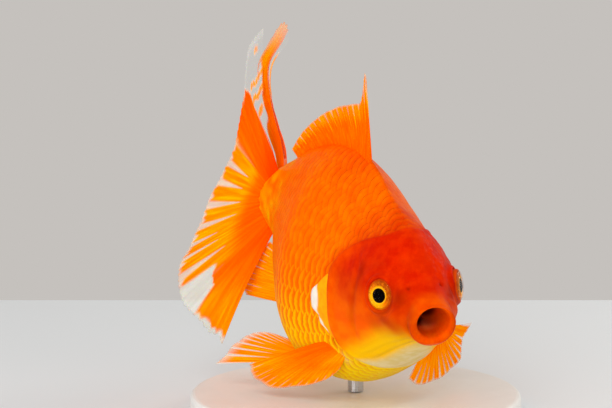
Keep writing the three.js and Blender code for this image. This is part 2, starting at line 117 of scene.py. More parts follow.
def smooth(place, pairs, column=1):
    """A cubic through pairs of place and value, each slope being that between the two neighbours."""
    knots = np.array([row[0] for row in pairs], float)
    values = np.array([row[column] for row in pairs], float)
    low = np.maximum(np.arange(len(knots)) - 1, 0)
    high = np.minimum(np.arange(len(knots)) + 1, len(knots) - 1)
    slopes = (values[high] - values[low]) / (knots[high] - knots[low])
    at = np.clip(place, knots[0], knots[-1])
    i = np.clip(np.searchsorted(knots, at, side="right") - 1, 0, len(knots) - 2)
    step = knots[i + 1] - knots[i]
    t = (at - knots[i]) / step
    rise = 3 * t**2 - 2 * t**3
    near = step * (t**3 - 2 * t**2 + t) * slopes[i]
    far = step * (t**3 - t**2) * slopes[i + 1]
    return values[i] * (1 - rise) + values[i + 1] * rise + near + far


def ramp(value, low, high):
    """0 before low and 1 past high, by 3t^2 - 2t^3 between; high may be the smaller one."""
    t = np.clip((np.asarray(value, float) - low) / (high - low), 0, 1)
    return t * t * (3 - 2 * t)


def hill(value, middle, width):
    """A Gaussian of height 1 round middle."""
    return np.exp(-(((value - middle) / width) ** 2))


def unit(vectors):
    """The vectors divided by their lengths."""
    return vectors / np.maximum(np.linalg.norm(vectors, axis=-1, keepdims=True), 1e-12)


def polyline(place, pairs):
    """Straight stretches through pairs of place and value."""
    return np.interp(place, *np.array(pairs, float).T)


def noise(points, size, seed):
    """Smooth value noise from -1 to 1: random numbers on a cubic lattice with that size of cell, mixed
    by 3t^2 - 2t^3. It repeats every 64 cells."""
    table = np.random.default_rng(seed).uniform(-1, 1, (64, 64, 64))
    cells = np.asarray(points, float) / size + 32.5
    whole = np.floor(cells).astype(int)
    t = cells - whole
    t = t * t * (3 - 2 * t)
    total = 0
    for corner in range(8):
        steps = np.array([corner & 1, (corner >> 1) & 1, corner >> 2])
        weight = np.prod(np.where(steps == 1, t, 1 - t), axis=-1)
        spot = (whole + steps) % 64
        total = total + weight * table[spot[..., 0], spot[..., 1], spot[..., 2]]
    return total


def body_point(back, turn, grow=0.0, share=1.0):
    """The straight body: half width by the cosine of turn raised to the sharpness, and from the
    middle level to the top or bottom by its sine, drawn in a little under the lips. Turn 0 is the left
    flank and 90 the ridge. grow moves it outwards, and share shrinks it."""
    top, bottom, half, middle, ridge, keel = [smooth(back, SECTIONS, k) for k in range(1, 7)]
    across = np.cos(np.radians(turn))
    up = np.sin(np.radians(turn))
    under_lips = hill(back, LIP_DEPTH, 0.8) * (1 - up) / 2
    scale = share * (1 - 0.07 * under_lips)
    side = np.sign(across) * np.abs(across) ** np.where(up > 0, ridge, keel)
    reach = np.where(up > 0, top - middle, middle - bottom) + grow
    return np.stack([(half + grow) * scale * side, back + 0 * side, middle + reach * scale * up], -1)


def turn_at(back, level):
    """The turn, on the left flank, where the body has that level: the arcsine of its share of the
    way from the middle level to the top or bottom."""
    top, bottom, middle = [smooth(back, SECTIONS, k) for k in (1, 2, 4)]
    reach = np.where(level > middle, top - middle, middle - bottom)
    return np.degrees(np.arcsin(np.clip((level - middle) / reach, -1, 1)))


def bent(p):
    """Past the neck the body follows a circular arc to the fish's right."""
    per_length = math.radians(BEND) / (BODY_LENGTH - NECK)
    radius = 1 / per_length
    angle = np.maximum(p[..., 1] - NECK, 0) * per_length
    along = np.minimum(p[..., 1], NECK)
    out = radius + p[..., 0]
    return np.stack([out * np.cos(angle) - radius, along + out * np.sin(angle), p[..., 2]], -1)


def directions(back):
    """The bent body's directions back, left and up at a distance behind the lips."""
    angle = np.maximum(np.asarray(back, float) - NECK, 0) * math.radians(BEND) / (BODY_LENGTH - NECK)
    none = 0 * angle
    back_way = np.stack([-np.sin(angle), np.cos(angle), none], -1)
    left_way = np.stack([np.cos(angle), np.sin(angle), none], -1)
    return back_way, left_way, np.stack([none, none, none + 1], -1)


def tilted(p):
    """The bent body leaned about its length, then turned nose down about the pivot."""
    lean, nose = math.radians(LEAN), math.radians(NOSE_DOWN)
    x = p[..., 0] * math.cos(lean) - p[..., 2] * math.sin(lean)
    y = p[..., 1] - PIVOT
    z = p[..., 0] * math.sin(lean) + p[..., 2] * math.cos(lean)
    return np.stack(
        [x, y * math.cos(nose) - z * math.sin(nose), y * math.sin(nose) + z * math.cos(nose)], -1
    )


UNDER_ROD = tilted(bent(body_point(np.array([ROD_BACK]), -90)))[0]
LOWEST_BELLY = tilted(bent(body_point(np.array([36, 38, 40, 42, 44, 46.0]), -90)))[:, 2].min()
OVER_STAND = np.array([-UNDER_ROD[0], -UNDER_ROD[1], BASE_HEIGHT + BELLY_CLEARANCE - LOWEST_BELLY])


def posed(p):
    """From the bent body to the model's frame, over the stand."""
    return tilted(p) + OVER_STAND


def placed(p):
    """From the straight body to the model's frame."""
    return posed(bent(p))


# Meshes -----------------------------------------------------------------------------------------


def sheet_faces(rows, columns, start=0, wrap=False, flip=False):
    """Quads over a grid of points numbered row by row. wrap joins the last column to the first."""
    across = columns if wrap else columns - 1
    i, j = np.meshgrid(np.arange(rows - 1) * columns, np.arange(across), indexing="ij")
    k = (j + 1) % columns
    quads = np.stack([i + j, i + columns + j, i + columns + k, i + k], -1).reshape(-1, 4) + start
    return quads[:, ::-1] if flip else quads


def rim_of(rows, columns):
    """The numbers of a grid's outer points in order, up the first column and down the last."""
    first = np.arange(rows) * columns
    end = (rows - 1) * columns + np.arange(1, columns)
    last = np.arange(rows - 2, -1, -1) * columns + columns - 1
    return np.concatenate([first, end, last, np.arange(columns - 2, 0, -1)])


def closed_sheet(upper, lower, flip=False):
    """Points and faces of two like grids, back to back, and the wall that joins their rims."""
    rows, columns = upper.shape[:2]
    count = rows * columns
    ring = rim_of(rows, columns)
    after = np.roll(ring, -1)
    wall = np.stack([after, ring, ring + count, after + count], -1)
    faces = sheet_faces(rows, columns, flip=flip).tolist()
    faces += sheet_faces(rows, columns, count, flip=not flip).tolist()
    faces += (wall[:, ::-1] if flip else wall).tolist()
    return np.concatenate([upper.reshape(-1, 3), lower.reshape(-1, 3)]), faces


def closed_rings(rings, flip=False):
    """Points and faces of rings closed by a point at each end, the first ring's end first."""
    rows, count = rings.shape[:2]
    points = np.concatenate([rings.reshape(-1, 3), [rings[0].mean(0), rings[-1].mean(0)]])
    ring = np.arange(count)
    after = (ring + 1) % count
    last = (rows - 1) * count
    faces = sheet_faces(rows, count, wrap=True, flip=flip).tolist()
    end = 0 * ring + rows * count
    for cap in ([end, ring, after], [end + 1, last + after, last + ring]):
        faces += np.stack(cap[::-1] if flip else cap, -1).tolist()
    return points, faces


def make_piece(name, points, faces, material, values=None, uvs=None):
    """A smooth-shaded mesh from points in millimetres in the model's frame. values are one number
    for each point, and uvs are maps of one pair for each point."""
    mesh = bpy.data.meshes.new(name)
    mesh.from_pydata((np.asarray(points) * MM).tolist(), [], [list(f) for f in faces])
    mesh.shade_smooth()
    for key, value in (values or {}).items():
        attribute = mesh.attributes.new(key, "FLOAT", "POINT")
        attribute.data.foreach_set("value", np.asarray(value, np.float32).ravel())
    corner = np.empty(len(mesh.loops), np.int32)
    mesh.loops.foreach_get("vertex_index", corner)
    for key, value in (uvs or {}).items():
        layer = mesh.uv_layers.new(name=key)
        layer.data.foreach_set("uv", np.asarray(value, np.float32).reshape(-1, 2)[corner].ravel())
    mesh.materials.append(material)
    made = bpy.data.objects.new(name, mesh)
    bpy.context.scene.collection.objects.link(made)
    return made


def keep(made, slot, *nodes):
    """Ties a piece to the part's body and hides the CAD nodes that it stands for. slot is not used."""
    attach(made, "root")
    if nodes:
        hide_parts(*nodes)


def grid_normals(points, wrap):
    """Unit normals of a grid of points: the cross product of its two differences."""
    along = np.gradient(points, axis=0)
    if wrap:
        across = np.roll(points, -1, axis=1) - np.roll(points, 1, axis=1)
    else:
        across = np.gradient(points, axis=1)
    return unit(np.cross(along, across))


# Materials --------------------------------------------------------------------------------------

FLOAT, COLOR, VECTOR = "NodeSocketFloat", "NodeSocketColor", "NodeSocketVector"
# The fourth mark is dark painted shade in hollows; the fifth is painted shade in folds and round the
# eyes, with darker lips and two dark dots.
MARKS = ("Crown", "Gold", "Cream", "Hollow", "Dusk")


def display(red, green, blue):
    """A colour given as 0 to 255 on a display, as linear light."""
    shown = np.array([red, green, blue]) / 255
    linear = np.where(shown <= 0.04045, shown / 12.92, ((shown + 0.055) / 1.055) ** 2.4)
    return (*linear.tolist(), 1.0)


def feed(tree, made, inputs):
    """Joins a node's inputs to the sockets given, or sets them to the plain values given."""
    for key, value in inputs.items():
        if isinstance(value, bpy.types.NodeSocket):
            tree.links.new(value, made.inputs[key])
        else:
            made.inputs[key].default_value = value


def add(tree, kind, inputs=None, **settings):
    """A node with its settings, fed by its inputs."""
    made = tree.nodes.new(kind)
    for key, value in settings.items():
        setattr(made, key, value)
    feed(tree, made, inputs or {})
    return made


def maths(tree, operation, *values):
    """One Math node's result."""
    return add(tree, "ShaderNodeMath", dict(enumerate(values)), operation=operation).outputs[0]


def times(tree, *values):
    """The product of two or more values."""
    product = values[0]
    for value in values[1:]:
        product = maths(tree, "MULTIPLY", product, value)
    return product


def mixed(tree, factor, first, second):
    """Two colours mixed, each a socket, or three numbers as a display shows it."""
    first, second = [display(*c) if isinstance(c, tuple) else c for c in (first, second)]
    return add(tree, "ShaderNodeMix", {0: factor, 6: first, 7: second}, data_type="RGBA").outputs[2]


def between(tree, value, low, high, start=0.0, end=1.0):
    """A value carried smoothly from one range to another."""
    inputs = {"Value": value, "From Min": low, "From Max": high, "To Min": start, "To Max": end}
    return add(tree, "ShaderNodeMapRange", inputs, interpolation_type="SMOOTHSTEP").outputs[0]


def grain(tree, vector, scale, detail=2.0):
    """A noise texture's value."""
    inputs = {"Vector": vector, "Scale": scale, "Detail": detail}
    return add(tree, "ShaderNodeTexNoise", inputs).outputs["Fac"]


def reading(tree, name):
    """One of the mesh's own numbers."""
    return add(tree, "ShaderNodeAttribute", attribute_name=name).outputs["Fac"]


def object_place(tree):
    """Object coordinates."""
    return add(tree, "ShaderNodeTexCoord").outputs["Object"]


def own_map(tree, name):
    """The mesh's own map of that name, and its two coordinates."""
    own = add(tree, "ShaderNodeUVMap", uv_map=name).outputs["UV"]
    parts = add(tree, "ShaderNodeSeparateXYZ", {"Vector": own})
    return own, parts.outputs["X"], parts.outputs["Y"]


def stretched(tree, vector, *scales):
    """A place with each of its coordinates multiplied by its own scale."""
    return add(tree, "ShaderNodeMapping", {"Vector": vector, "Scale": scales}).outputs[0]


def bumped(tree, shader, height, strength, depth):
    """Bumps on a shader, of that depth in millimetres."""
    inputs = {"Height": height, "Strength": strength, "Distance": depth * MM}
    feed(tree, shader, {"Normal": add(tree, "ShaderNodeBump", inputs).outputs["Normal"]})


def new_group(name, inputs, outputs):
    """An empty node group with named sockets: pairs of name and kind."""
    tree = bpy.data.node_groups.new(name, "ShaderNodeTree")
    for way, sockets in (("INPUT", inputs), ("OUTPUT", outputs)):
        for socket, kind in sockets:
            tree.interface.new_socket(socket, in_out=way, socket_type=kind)
    return tree, tree.nodes.new("NodeGroupInput"), tree.nodes.new("NodeGroupOutput")


def fish_colours():
    """The fish's markings: orange, with a red crown, golden flanks and cream throat, painted shade in
    folds, round the eyes and in dark hollows, and darker lips and dots. Soft noise moves the borders and
    shifts the orange a little."""
    sockets = [("Vector", VECTOR)] + [(name, FLOAT) for name in MARKS]
    tree, given, out = new_group("goldfish_markings", sockets, [("Color", COLOR)])
    place = given.outputs["Vector"]
    drift = between(tree, grain(tree, place, 170, 4), 0.3, 0.7, -0.13, 0.13)
    patch = between(tree, grain(tree, place, 380, 3), 0.35, 0.65)
    edges = {}
    for name in ("Crown", "Gold", "Cream"):
        own = given.outputs[name]
        border = times(tree, own, maths(tree, "SUBTRACT", 1.0, own), 4.0)
        moved = maths(tree, "MULTIPLY_ADD", border, drift, own)
        edges[name] = maths(tree, "MINIMUM", maths(tree, "MAXIMUM", moved, 0.0), 1.0)
    red = mixed(tree, patch, (198, 11, 0), (212, 25, 0))
    cream = mixed(tree, patch, (226, 208, 158), (218, 196, 128))
    # A darker red for painted shade and the darker lips and dots.
    dusk = mixed(tree, edges["Crown"], (172, 50, 0), (140, 10, 0))
    colour = mixed(tree, patch, (254, 95, 0), (254, 110, 0))
    colour = mixed(tree, edges["Crown"], colour, red)
    colour = mixed(tree, edges["Gold"], colour, (246, 188, 0))
    colour = mixed(tree, edges["Cream"], colour, cream)
    colour = mixed(tree, given.outputs["Dusk"], colour, dusk)
    # Dark painted shade in the mouth and other hollows.
    colour = mixed(tree, given.outputs["Hollow"], colour, (88, 5, 0))
    feed(tree, out, {"Color": colour})
    return tree


def wet_skin():
    """Roughness and a bump height for wet skin: fine pores over small domes."""
    tree, given, out = new_group(
        "wet_skin", [("Vector", VECTOR), ("Bumps", FLOAT)], [("Roughness", FLOAT), ("Height", FLOAT)]
    )
    place = given.outputs["Vector"]
    cells = add(tree, "ShaderNodeTexVoronoi", {"Vector": place, "Scale": 1100.0}, feature="SMOOTH_F1")
    domes = maths(tree, "SUBTRACT", 1.0, cells.outputs["Distance"])
    lumps = times(tree, domes, given.outputs["Bumps"])
    height = maths(tree, "MULTIPLY_ADD", grain(tree, place, 2600, 2), 0.25, lumps)
    rough = between(tree, grain(tree, place, 700, 2), 0.3, 0.7, 0.3, 0.46)
    feed(tree, out, {"Height": height, "Roughness": rough})
    return tree


MARKINGS = fish_colours()
WET = wet_skin()


def new_material(name):
    """An empty material with a Principled BSDF."""
    made = bpy.data.materials.new(name)
    made.use_nodes = True
    return made, made.node_tree, made.node_tree.nodes["Principled BSDF"]


def marked_colour(tree):
    """The markings group, fed by the mesh's own numbers."""
    inputs = {"Vector": object_place(tree), **{name: reading(tree, name.lower()) for name in MARKS}}
    return add(tree, "ShaderNodeGroup", inputs, node_tree=MARKINGS).outputs["Color"]


def wet_finish(tree, shader, bumps, strength, extra=None):
    """The wet skin group's roughness and bump on a shader, with an extra height if given."""
    made = add(tree, "ShaderNodeGroup", {"Vector": object_place(tree), "Bumps": bumps}, node_tree=WET)
    feed(tree, shader, {"Roughness": made.outputs["Roughness"]})
    height = made.outputs["Height"]
    if extra is not None:
        height = maths(tree, "ADD", height, extra)
    bumped(tree, shader, height, strength, 0.12)


def soften(tree, shader, scatter, shine=0.07, tint=(1.0, 0.4, 0.02)):
    """Scatters some light under the surface, the red furthest, and sets how much the surface shines."""
    feed(tree, shader, {
        "Subsurface Weight": scatter,
        "Subsurface Radius": (1.0, 0.3, 0.05),
        "Subsurface Scale": MM,
        "Specular IOR Level": shine,
        "Specular Tint": (*tint, 1.0),
        "Coat Roughness": 0.07,
    })


def skin_material():
    """Wet skin with the fish's markings, bumpy on the crown."""
    made, tree, shader = new_material("goldfish_skin")
    feed(tree, shader, {"Base Color": marked_colour(tree), "Coat Weight": reading(tree, "gloss")})
    wet_finish(tree, shader, reading(tree, "bumps"), 0.5)
    soften(tree, shader, 0.08, 0.025)
    return made


def scale_material():
    """Scales with the fish's markings: each a golden crescent inside its rear edge, a darker painted
    shade where it comes out from under the one in front, and orange flecks at the edge itself."""
    made, tree, shader = new_material("goldfish_scales")
    along = own_map(tree, "Scale")[1]
    place = object_place(tree)
    wander = between(tree, grain(tree, place, 700, 2), 0.3, 0.7, -0.035, 0.035)
    reach = maths(tree, "ADD", along, wander)
    inside = between(tree, reach, 0.9, 0.98, 1.0, 0.1)
    crescent = times(tree, between(tree, reach, 0.7, 0.82), inside)
    strength, gold = reading(tree, "crescent"), reading(tree, "gold")
    golden = mixed(tree, gold, (255, 154, 0), (255, 222, 0))
    # Painted shade where a scale comes out from under the one in front: a deeper orange, or a deeper
    # gold.
    overlap_shade = mixed(tree, maths(tree, "POWER", gold, 2.0), (246, 82, 0), (254, 204, 0))
    under = times(tree, maths(tree, "SUBTRACT", 1.0, crescent), strength)
    patches = between(tree, grain(tree, place, 420, 2), 0.45, 0.66, 0.0, 0.4)
    marked = between(tree, strength, 0.1, 0.6, 0.25, 1.0)
    fleck = times(tree, between(tree, reach, 0.84, 0.97), patches, marked)
    colour = mixed(tree, times(tree, under, 0.6), marked_colour(tree), overlap_shade)
    colour = mixed(tree, times(tree, crescent, strength), colour, golden)
    feed(tree, shader, {"Base Color": mixed(tree, fleck, colour, (240, 84, 0))})
    rings = maths(tree, "SINE", times(tree, reach, 75.0))
    wet_finish(tree, shader, 0.1, 0.3, times(tree, rings, 0.1))
    soften(tree, shader, 0.06, 0.025)
    return made


def fin_material():
    """Fins: orange rays on skin streaked along them, golden where the mesh says, and paling to clear
    skin in the gaps and at the margin. A faint glow stands for light coming through."""
    made, tree, shader = new_material("goldfish_fin")
    own, along, _ = own_map(tree, "Fin")
    streaks = between(tree, grain(tree, stretched(tree, own, 1.6, 46.0, 1.0), 1.0), 0.35, 0.65)
    lines = between(tree, grain(tree, stretched(tree, own, 2.5, 150.0, 1.0), 1.0), 0.5, 0.72)
    ray, pale, deep, gold = [reading(tree, name) for name in ("ray", "pale", "deep", "gold")]
    orange = mixed(tree, streaks, (250, 92, 0), (252, 112, 0))
    yellow = mixed(tree, streaks, (252, 138, 0), (254, 174, 2))
    dusky = mixed(tree, gold, (236, 72, 0), (246, 112, 0))
    clear = mixed(tree, streaks, (214, 214, 202), (228, 228, 220))
    colour = mixed(tree, gold, orange, yellow)
    colour = mixed(tree, times(tree, lines, between(tree, gold, 0.0, 1.0, 0.5, 0.3)), colour, dusky)
    colour = mixed(tree, times(tree, ray, 0.3), colour, (250, 90, 0))
    colour = mixed(tree, deep, colour, (244, 52, 0))
    colour = mixed(tree, maths(tree, "POWER", pale, 2.0), colour, clear)
    alpha = maths(tree, "SUBTRACT", 1.0, times(tree, pale, reading(tree, "clear")))
    feed(tree, shader, {
        "Base Color": colour, "Alpha": alpha, "Emission Color": colour, "Emission Strength": 0.07,
    })
    joints = maths(tree, "SINE", times(tree, along, 330.0))
    segments = times(tree, joints, ray, 0.2)
    wet_finish(tree, shader, 0.1, 0.4, maths(tree, "MULTIPLY_ADD", streaks, 0.3, segments))
    soften(tree, shader, 0.15, 0.0)
    return made


def membrane_material():
    """The soft flap behind the gill cover: golden, with a white rear margin."""
    made, tree, shader = new_material("gill_membrane")
    tone = grain(tree, object_place(tree), 600, 2)
    gold = mixed(tree, tone, (250, 136, 0), (254, 176, 4))
    white = mixed(tree, tone, (226, 214, 198), (240, 228, 218))
    feed(tree, shader, {"Base Color": mixed(tree, reading(tree, "pale"), gold, white)})
    wet_finish(tree, shader, 0.1, 0.4)
    soften(tree, shader, 0.1, tint=(1.0, 0.8, 0.6))
    return made


def eye_material():
    """The eye, by distance from its axis: black pupil, thin bright ring, and a streaked iris that is
    gold below and browns above, fading into the red of the skin."""
    made, tree, shader = new_material("goldfish_eye")
    own, far, round_way = own_map(tree, "Eye")
    spokes = stretched(tree, own, 5.0, 26.0, 1.0)
    streaks = between(tree, grain(tree, spokes, 1.0, 4), 0.3, 0.7)
    height = maths(tree, "SINE", maths(tree, "MULTIPLY_ADD", round_way, 2 * math.pi, -0.6))
    gold = mixed(tree, streaks, (236, 140, 2), (250, 178, 8))
    side = mixed(tree, streaks, (206, 96, 2), (232, 124, 6))
    brown = mixed(tree, streaks, (150, 56, 4), (190, 92, 6))
    ring = times(tree, between(tree, far, 0.46, 0.49), between(tree, far, 0.66, 0.53), 0.85)
    line = times(tree, between(tree, far, 0.8, 0.9), between(tree, far, 1.0, 0.94), 0.6)
    colour = mixed(tree, between(tree, height, -0.8, -0.1), gold, side)
    colour = mixed(tree, between(tree, height, -0.1, 0.6), colour, brown)
    colour = mixed(tree, ring, colour, (248, 176, 14))
    colour = mixed(tree, line, colour, (150, 50, 4))
    colour = mixed(tree, between(tree, far, 0.9, 1.02), colour, (206, 62, 2))
    colour = mixed(tree, between(tree, far, 0.49, 0.465), colour, (3, 2, 4))
    feed(tree, shader, {
        "Base Color": colour,
        "Roughness": between(tree, far, 0.44, 0.5, 0.2, 0.4),
        "Specular IOR Level": 0.03,
        "Specular Tint": (1.0, 0.6, 0.2, 1.0),
    })
    bumped(tree, shader, streaks, 0.3, 0.1)
    return made


def cornea_material():
    """Clear wet tissue over the eye: mostly open, with a faint shine, and no hindrance to shadow rays."""
    made, tree, shader = new_material("cornea")
    feed(tree, shader, {
        "Base Color": (1.0, 0.97, 0.92, 1.0),
        "Transmission Weight": 1.0,
        "Roughness": 0.02,
        "IOR": 1.12,
        "Alpha": 0.12,
    })
    clear = add(tree, "ShaderNodeBsdfTransparent").outputs[0]
    shadow = add(tree, "ShaderNodeLightPath").outputs["Is Shadow Ray"]
    either = add(tree, "ShaderNodeMixShader", {0: shadow, 1: shader.outputs[0], 2: clear}).outputs[0]
    feed(tree, tree.nodes["Material Output"], {"Surface": either})
    return made


def lacquer_material():
    """Satin off-white lacquer with faint orange peel and small dull patches."""
    made, tree, shader = new_material("base_lacquer")
    place = object_place(tree)
    tone = between(tree, grain(tree, place, 60, 4), 0.3, 0.7)
    rough = between(tree, grain(tree, place, 130, 3), 0.3, 0.7, 0.34, 0.5)
    white = mixed(tree, tone, (226, 225, 221), (233, 232, 229))
    feed(tree, shader, {"Base Color": white, "Roughness": rough})
    bumped(tree, shader, grain(tree, place, 1400, 1), 0.12, 0.2)
    return made


def steel_material():
    """Brushed steel, the fine lines running round the rod."""
    made, tree, shader = new_material("rod_steel")
    brush = grain(tree, stretched(tree, object_place(tree), 40.0, 40.0, 9000.0), 1.0, 2)
    feed(tree, shader, {
        "Base Color": mixed(tree, brush, (168, 170, 173), (205, 207, 209)),
        "Roughness": between(tree, brush, 0.2, 0.8, 0.22, 0.42),
        "Metallic": 1.0,
    })
    bumped(tree, shader, brush, 0.2, 0.1)
    return made


def floor_material():
    """Plain matt white, with the faintest unevenness."""
    made, tree, shader = new_material("floor_white")
    tone = grain(tree, object_place(tree), 8, 2)
    white = mixed(tree, tone, (226, 231, 235), (229, 234, 238))
    feed(tree, shader, {"Base Color": white, "Roughness": 0.6})
    return made


# Markings and relief of the skin ----------------------------------------------------------------

NOSTRIL = (4.0, 6.0, 7.8)
MOUTH_CORNER = (5.6, 2.2, -1.0)
# Places of painted shade, and two dark dots: how much, where as (left, back, up), and how far each
# reaches: behind the eye, ahead of it, under it, on the cheek, under the cheek, at the cover's lower end,
# two dots, and over the eye.
SHADE_AND_DOTS = [
    (0.3, (11.3, 20.2, 8.9), (3, 1.6, 1.8)), (0.65, (5.9, 6.4, 5.2), (2.2, 2.2, 2.4)),
    (0.5, (8.8, 9.8, -0.6), (2.5, 2.6, 1.3)), (0.42, (7.2, 6.5, -1.6), (3, 3.4, 2.2)),
    (0.25, (9.5, 13.5, -3), (3, 2.5, 2)), (0.85, (14.6, 29.6, -12.1), (2, 1.2, 1.1)),
    (0.6, (14.5, 35.6, 9.2), (1.5, 0.6, 0.55)), (0.6, (13.5, 32.6, 9.9), (1.5, 0.6, 0.55)),
    (0.22, (10, 14, 10.5), (4, 4, 3)),
]
# Where the gold of the cheek and the cream of the throat begin: distance behind the lips, level.
GOLD_LINE = [
    (3.7, -3.6), (4.7, -3.0), (8.9, -3.6), (14, -5.9), (19, -8.9), (22, -11.0), (27, -14), (34, -17),
]
CREAM_LINE = [
    (3, -4.6), (5.1, -5.6), (10.5, -9), (14.2, -11.3), (18.4, -14), (21.6, -15.4), (24.4, -16.2),
]
# The line of painted shade down the gill cover's fold: level, distance behind the lips.
COVER_FOLD = [(-9, 20.6), (-7, 21.2), (-3, 21.2), (1, 20.6), (6, 20.4), (8, 19.4), (10, 20.8)]
# The fold that runs from the snout under the eye: distance behind the lips, level.
EYE_FOLD = [(3, 6.2), (4.3, 5), (5.7, 3.5), (7.9, 1), (9.9, 0.1), (13, -0.6)]


def ahead_of_edge(p):
    """How far a place is ahead of the head's rear edge, at its own level."""
    return smooth(p[..., 2], HEAD_EDGE) - p[..., 1]


def blob(p, place, sizes):
    """A Gaussian of height 1 round a place given for the left side and mirrored to the right."""
    offset = np.stack([np.abs(p[..., 0]), p[..., 1], p[..., 2]], -1) - np.array(place)
    return np.exp(-np.sum((offset / np.array(sizes)) ** 2, axis=-1))


def markings(p):
    """The fish's colours at places of the straight body, each from 0 to 1: how red, golden and cream it
    is there, and how much painted shade or darker colour it has. Each is a product of ramps and hills of
    the distance from drawn lines."""
    left, back, up = np.abs(p[..., 0]), p[..., 1], p[..., 2]
    ahead = ahead_of_edge(p)
    high = ramp(up, 12, 20)
    head = ramp(ahead, -1.0 - 2.0 * high, 1.0 + 1.5 * high)
    lips = ramp(back, 4.2, 1.2)
    paler_cover = 1 - 0.5 * ramp(ahead, 6, -0.5) * ramp(up, 15, 8)
    crown = 0.92 * ramp(up, -8, 9) * paler_cover * (1 - lips) + 0.42 * lips
    nape = 0.04 + 0.3 * ramp(up, 16, 30) * ramp(back, 56, 40)
    nape += 0.62 * ramp(-ahead, 3 + 15 * ramp(up, 11, 19), -1)
    gold_level = polyline(back, GOLD_LINE)
    cheek = ramp(up, gold_level + 3.4, gold_level - 2.4) * ramp(back, 2.2, 4.2)
    belly = 0.6 * ramp(up, 2, -18) + 0.4 * ramp(up, -12, -22)
    stalk = ramp(back, 60, 72) * (0.26 + 0.36 * noise(p, 2.0, 8))
    stalk *= 0.3 + 0.7 * ramp(back, 81.5, 79.5)
    cream_level = polyline(back, CREAM_LINE)
    throat = ramp(up, cream_level + 0.8, cream_level - 1.3) * ramp(back, 27, 23.5) * head
    chest = blob(p, (12.1, 29.2, -17.0), (2.0, 0.9, 1.8))
    # Painted shade down the cover's fold and across the middle of the head; the lips darker, more on
    # their outer lower sides.
    dusk = 0.3 * hill(back, polyline(up, COVER_FOLD), 1.1) * ramp(up, -11, -6) * ramp(up, 13, 8)
    dusk += 0.2 * head * ramp(up, 10, 4) * ramp(up, -8, -3) * (1 - lips) + 0.16 * lips
    dusk += 0.36 * lips * ramp(left, 3, 5.5) * ramp(up, -5, 0)
    # Spots of painted shade round the eyes, on the cheek and at the cover's lower end, and two dark dots.
    for strength, place, sizes in SHADE_AND_DOTS:
        dusk += strength * blob(p, place, sizes)
    return {
        "crown": head * crown + (1 - head) * nape,
        "gold": head * cheek + (1 - head) * np.maximum(belly, stalk),
        "cream": np.maximum(throat, 0.85 * chest),
        "dusk": np.clip(dusk, 0, 1),
    }


def eye_frame(sign):
    """The eye's rim centre, its look, and its sideways and upward directions, on one side."""
    middle, look = EYE_RIMS[sign], unit(EYE_LOOKS[sign])
    side = unit(np.cross(look, np.array([0.0, 0.0, 1.0])))
    return middle, look, side, np.cross(side, look)


def eye_distance(p, sign):
    """Distance from the eye's axis, and height along it over the rim's middle."""
    middle, look = eye_frame(sign)[:2]
    offset = p - middle
    height = offset @ look
    return np.linalg.norm(offset - height[..., None] * look, axis=-1), height


def cover_relief(back, up, ahead):
    """The gill cover: a swelling just ahead of the head's rear edge, past which the skin drops under
    the scales; a crease along the cover's front; and faint rays across it."""
    low = ramp(up, 18, 13) * ramp(up, -20, -14)
    rise = -COAT_DEPTH * ramp(ahead, 0.45, -0.25)
    rise += low * (0.3 * hill(ahead, 1.3, 1.2) - 0.2 * hill(ahead, -0.5, 0.45))
    behind = back - smooth(up, COVER_FRONT)
    plate = ramp(up, -13, -9) * ramp(up, 15, 10) * ramp(ahead, -0.5, 1)
    rise += plate * (0.1 * ramp(behind, -0.6, 1.8) - 0.16 * hill(behind, -0.4, 0.9))
    rays = np.sin(1.1 * (up - 0.35 * (back - 21)))
    return rise + plate * ramp(behind, 0.5, 3) * ramp(ahead, 0.6, 3) * 0.02 * rays


def eye_relief(p, normal, sign):
    """Round an eye: the skin levelled to the ball's rim, a thin lid, a groove outside it, a brow above
    that, and a socket sunk under the ball."""
    far, height = eye_distance(p, sign)
    middle, look = eye_frame(sign)[:2]
    facing = np.clip(normal @ look, 0.35, 1)
    near = ramp(height, -5, -3) * ramp(facing, 0.36, 0.5)
    levelled = np.clip((0.1 - height) / facing, -0.8, 0.8)
    above = ramp((p - middle)[..., 2], 0.5, 4)
    rise = hill(far, EYE_RADIUS + 0.25, 0.9) * levelled
    rise += 0.14 * hill(far, EYE_RADIUS + 0.55, 0.45)
    rise -= 0.2 * hill(far, EYE_RADIUS + 1.7, 0.7)
    rise += 0.35 * above * hill(far, EYE_RADIUS + 2.3, 1.3)
    return near * (rise - 3.0 * ramp(far, EYE_RADIUS + 0.1, EYE_RADIUS - 0.35))


def snout_relief(p, normal, ahead):
    """Ahead of the gill cover: a flap over each nostril's pit, a dip at each mouth corner, a fold under
    each eye, and three creases along each side of the throat."""
    left, back, up = np.abs(p[..., 0]), p[..., 1], p[..., 2]
    rise = 0.28 * blob(p, (4.7, 8.2, 9.1), (0.7, 0.9, 1.1)) - 0.4 * blob(p, NOSTRIL, 0.45)
    rise -= 0.5 * blob(p, MOUTH_CORNER, (1.6, 0.9, 1.6))
    over_fold = up - polyline(back, EYE_FOLD)
    under_eye = ramp(back, 3.6, 5) * ramp(back, 12, 9) * ramp(left, 3.5, 5)
    rise += 0.16 * under_eye * (hill(over_fold, -1.2, 1.1) - hill(over_fold, 0.4, 0.7))
    throat = ramp(normal[..., 2], -0.25, -0.6) * ramp(back, 3, 5) * ramp(ahead, 5, 8)
    jaw = left - (1.2 + 0.3 * back)
    for depth, place, width in ((0.3, 0, 0.5), (0.12, 1.7, 0.4), (0.1, 3.1, 0.4)):
        rise -= throat * depth * hill(jaw, place, width)
    return rise


